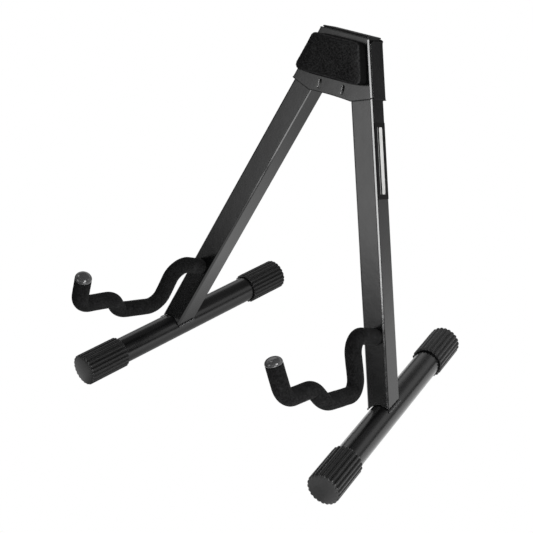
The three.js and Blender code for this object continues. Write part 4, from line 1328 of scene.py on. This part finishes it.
def card_glow(n, e):
    sep = n.new("ShaderNodeSeparateXYZ")
    n.link(n.tc.outputs["Object"], sep.inputs[0])
    x, y, z = sep.outputs
    s_ = n.math("ADD", n.math("MULTIPLY", x, t.x), n.math("MULTIPLY", y, t.y))
    across = curve(n, n.range(s_, -1.0, 1.0, 0.0, 1.0), [(0.0, 0.0), (0.10, 0.12), (0.285, 0.27), (0.335, 0.34), (0.40, 0.58), (0.45, 0.92), (0.52, 1.0), (0.75, 1.0), (1.0, 0.0)])
    upward = curve(n, n.math("DIVIDE", z, 1.7), [(0.0, 0.0), (0.118, 0.0), (0.155, 0.30), (0.18, 0.55), (0.205, 0.70), (0.25, 0.87), (0.30, 0.93), (0.376, 0.97), (0.41, 1.08), (0.47, 1.18), (0.52, 1.2), (0.64, 0.9), (1.0, 0.35)])
    n.link(n.math("MULTIPLY", n.math("MULTIPLY", across, upward), 3.1), e.inputs["Strength"])


emitter("front_card", quad, [(0, 1, 2, 3)], card_glow)

def ring_card(name, azimuths, z0, z1, full_at, radiance, radius=3.2):
    """A broad dim card bent round the stage, so that every side of the stand has something pale to mirror."""
    pts = []
    for a_ in azimuths:
        q = Vector((math.sin(math.radians(a_)), -math.cos(math.radians(a_)), 0.0)) * radius
        pts += [(q.x, q.y, z0), (q.x, q.y, z1)]

    def glow(n, e):
        sep = n.new("ShaderNodeSeparateXYZ")
        n.link(n.tc.outputs["Object"], sep.inputs[0])
        n.link(n.math("MULTIPLY", n.range(sep.outputs[2], z0, full_at, 0.0, 1.0), radiance), e.inputs["Strength"])

    return emitter(name, pts, [(i * 2, i * 2 + 2, i * 2 + 3, i * 2 + 1) for i in range(len(azimuths) - 1)], glow)


ring_card("rear_card", (110, 135, 160, 185, 210, 235, 260), 0.25, 2.3, 1.0, 1.0)
ring_card("front_fill", (2, 20, 40, 60, 80), 0.75, 2.3, 1.2, 0.8)
ring_card("left_fill", (-62, -80, -98), 0.60, 2.3, 1.1, 0.7)

# a low strip on the front right, seen only as a glint in pressed edges
az2 = math.radians(55.0)
d2, t2 = Vector((math.sin(az2), -math.cos(az2), 0.0)), Vector((math.cos(az2), math.sin(az2), 0.0))
quad = []
for s_, z in ((-0.55, 0.0), (0.55, 0.0), (0.55, 0.55), (-0.55, 0.55)):
    q = d2 * 2.5 + t2 * s_
    quad.append((q.x, q.y, z))
emitter("low_strip", quad, [(0, 1, 2, 3)], plain(13.0)).visible_diffuse = False


def area(name, at, target, size, size_y, radiance):
    li = bpy.data.lights.new(name, "AREA")
    li.shape = "RECTANGLE"
    li.size, li.size_y = size, size_y
    li.energy = radiance * math.pi * size * size_y
    o = bpy.data.objects.new(name, li)
    bpy.context.scene.collection.objects.link(o)
    o.location = at
    o.rotation_mode = "QUATERNION"
    o.rotation_quaternion = (Vector(target) - Vector(at)).to_track_quat("-Z", "Y")
    o.visible_camera = False
    return o


CEN = (0.0, 0.0, 0.16)
area("right_box", (1.17, -0.41, 0.93), (0.1, 0.03, 0.24), 0.46, 0.72, 14.0)
area("left_top_box", (-0.98, -0.10, 1.45), CEN, 0.50, 0.45, 3.0)

world = bpy.data.worlds.new("studio")
world.use_nodes = True
bg = world.node_tree.nodes["Background"]
bg.inputs["Color"].default_value = (1, 1, 1, 1)
bg.inputs["Strength"].default_value = 0.14
bpy.context.scene.world = world

CAM = np.array([0.661559, -0.863419, 0.781083])
YAW, PITCH, F = 0.660378, 0.529233, 1218.266
fwd = np.array([-math.sin(YAW) * math.cos(PITCH), math.cos(YAW) * math.cos(PITCH), -math.sin(PITCH)])
right = np.array([math.cos(YAW), math.sin(YAW), 0.0])
up = np.cross(right, fwd)
cam = bpy.data.cameras.new("camera")
cam.sensor_fit = "HORIZONTAL"
cam.sensor_width = 36.0
cam.lens = F * 36.0 / 533.0
cam.clip_start, cam.clip_end = 0.05, 50
cam.dof.use_dof = False
co = bpy.data.objects.new("camera", cam)
bpy.context.scene.collection.objects.link(co)
mw = Matrix.Identity(4)
for i in range(3):
    mw[i][0], mw[i][1], mw[i][2], mw[i][3] = right[i], up[i], -fwd[i], CAM[i]
co.matrix_world = mw
bpy.context.scene.camera = co

vs = bpy.context.scene.view_settings
vs.view_transform = "Standard"
vs.look = "None"
vs.exposure = 0.0
vs.gamma = 1.0

bpy.context.view_layer.update()
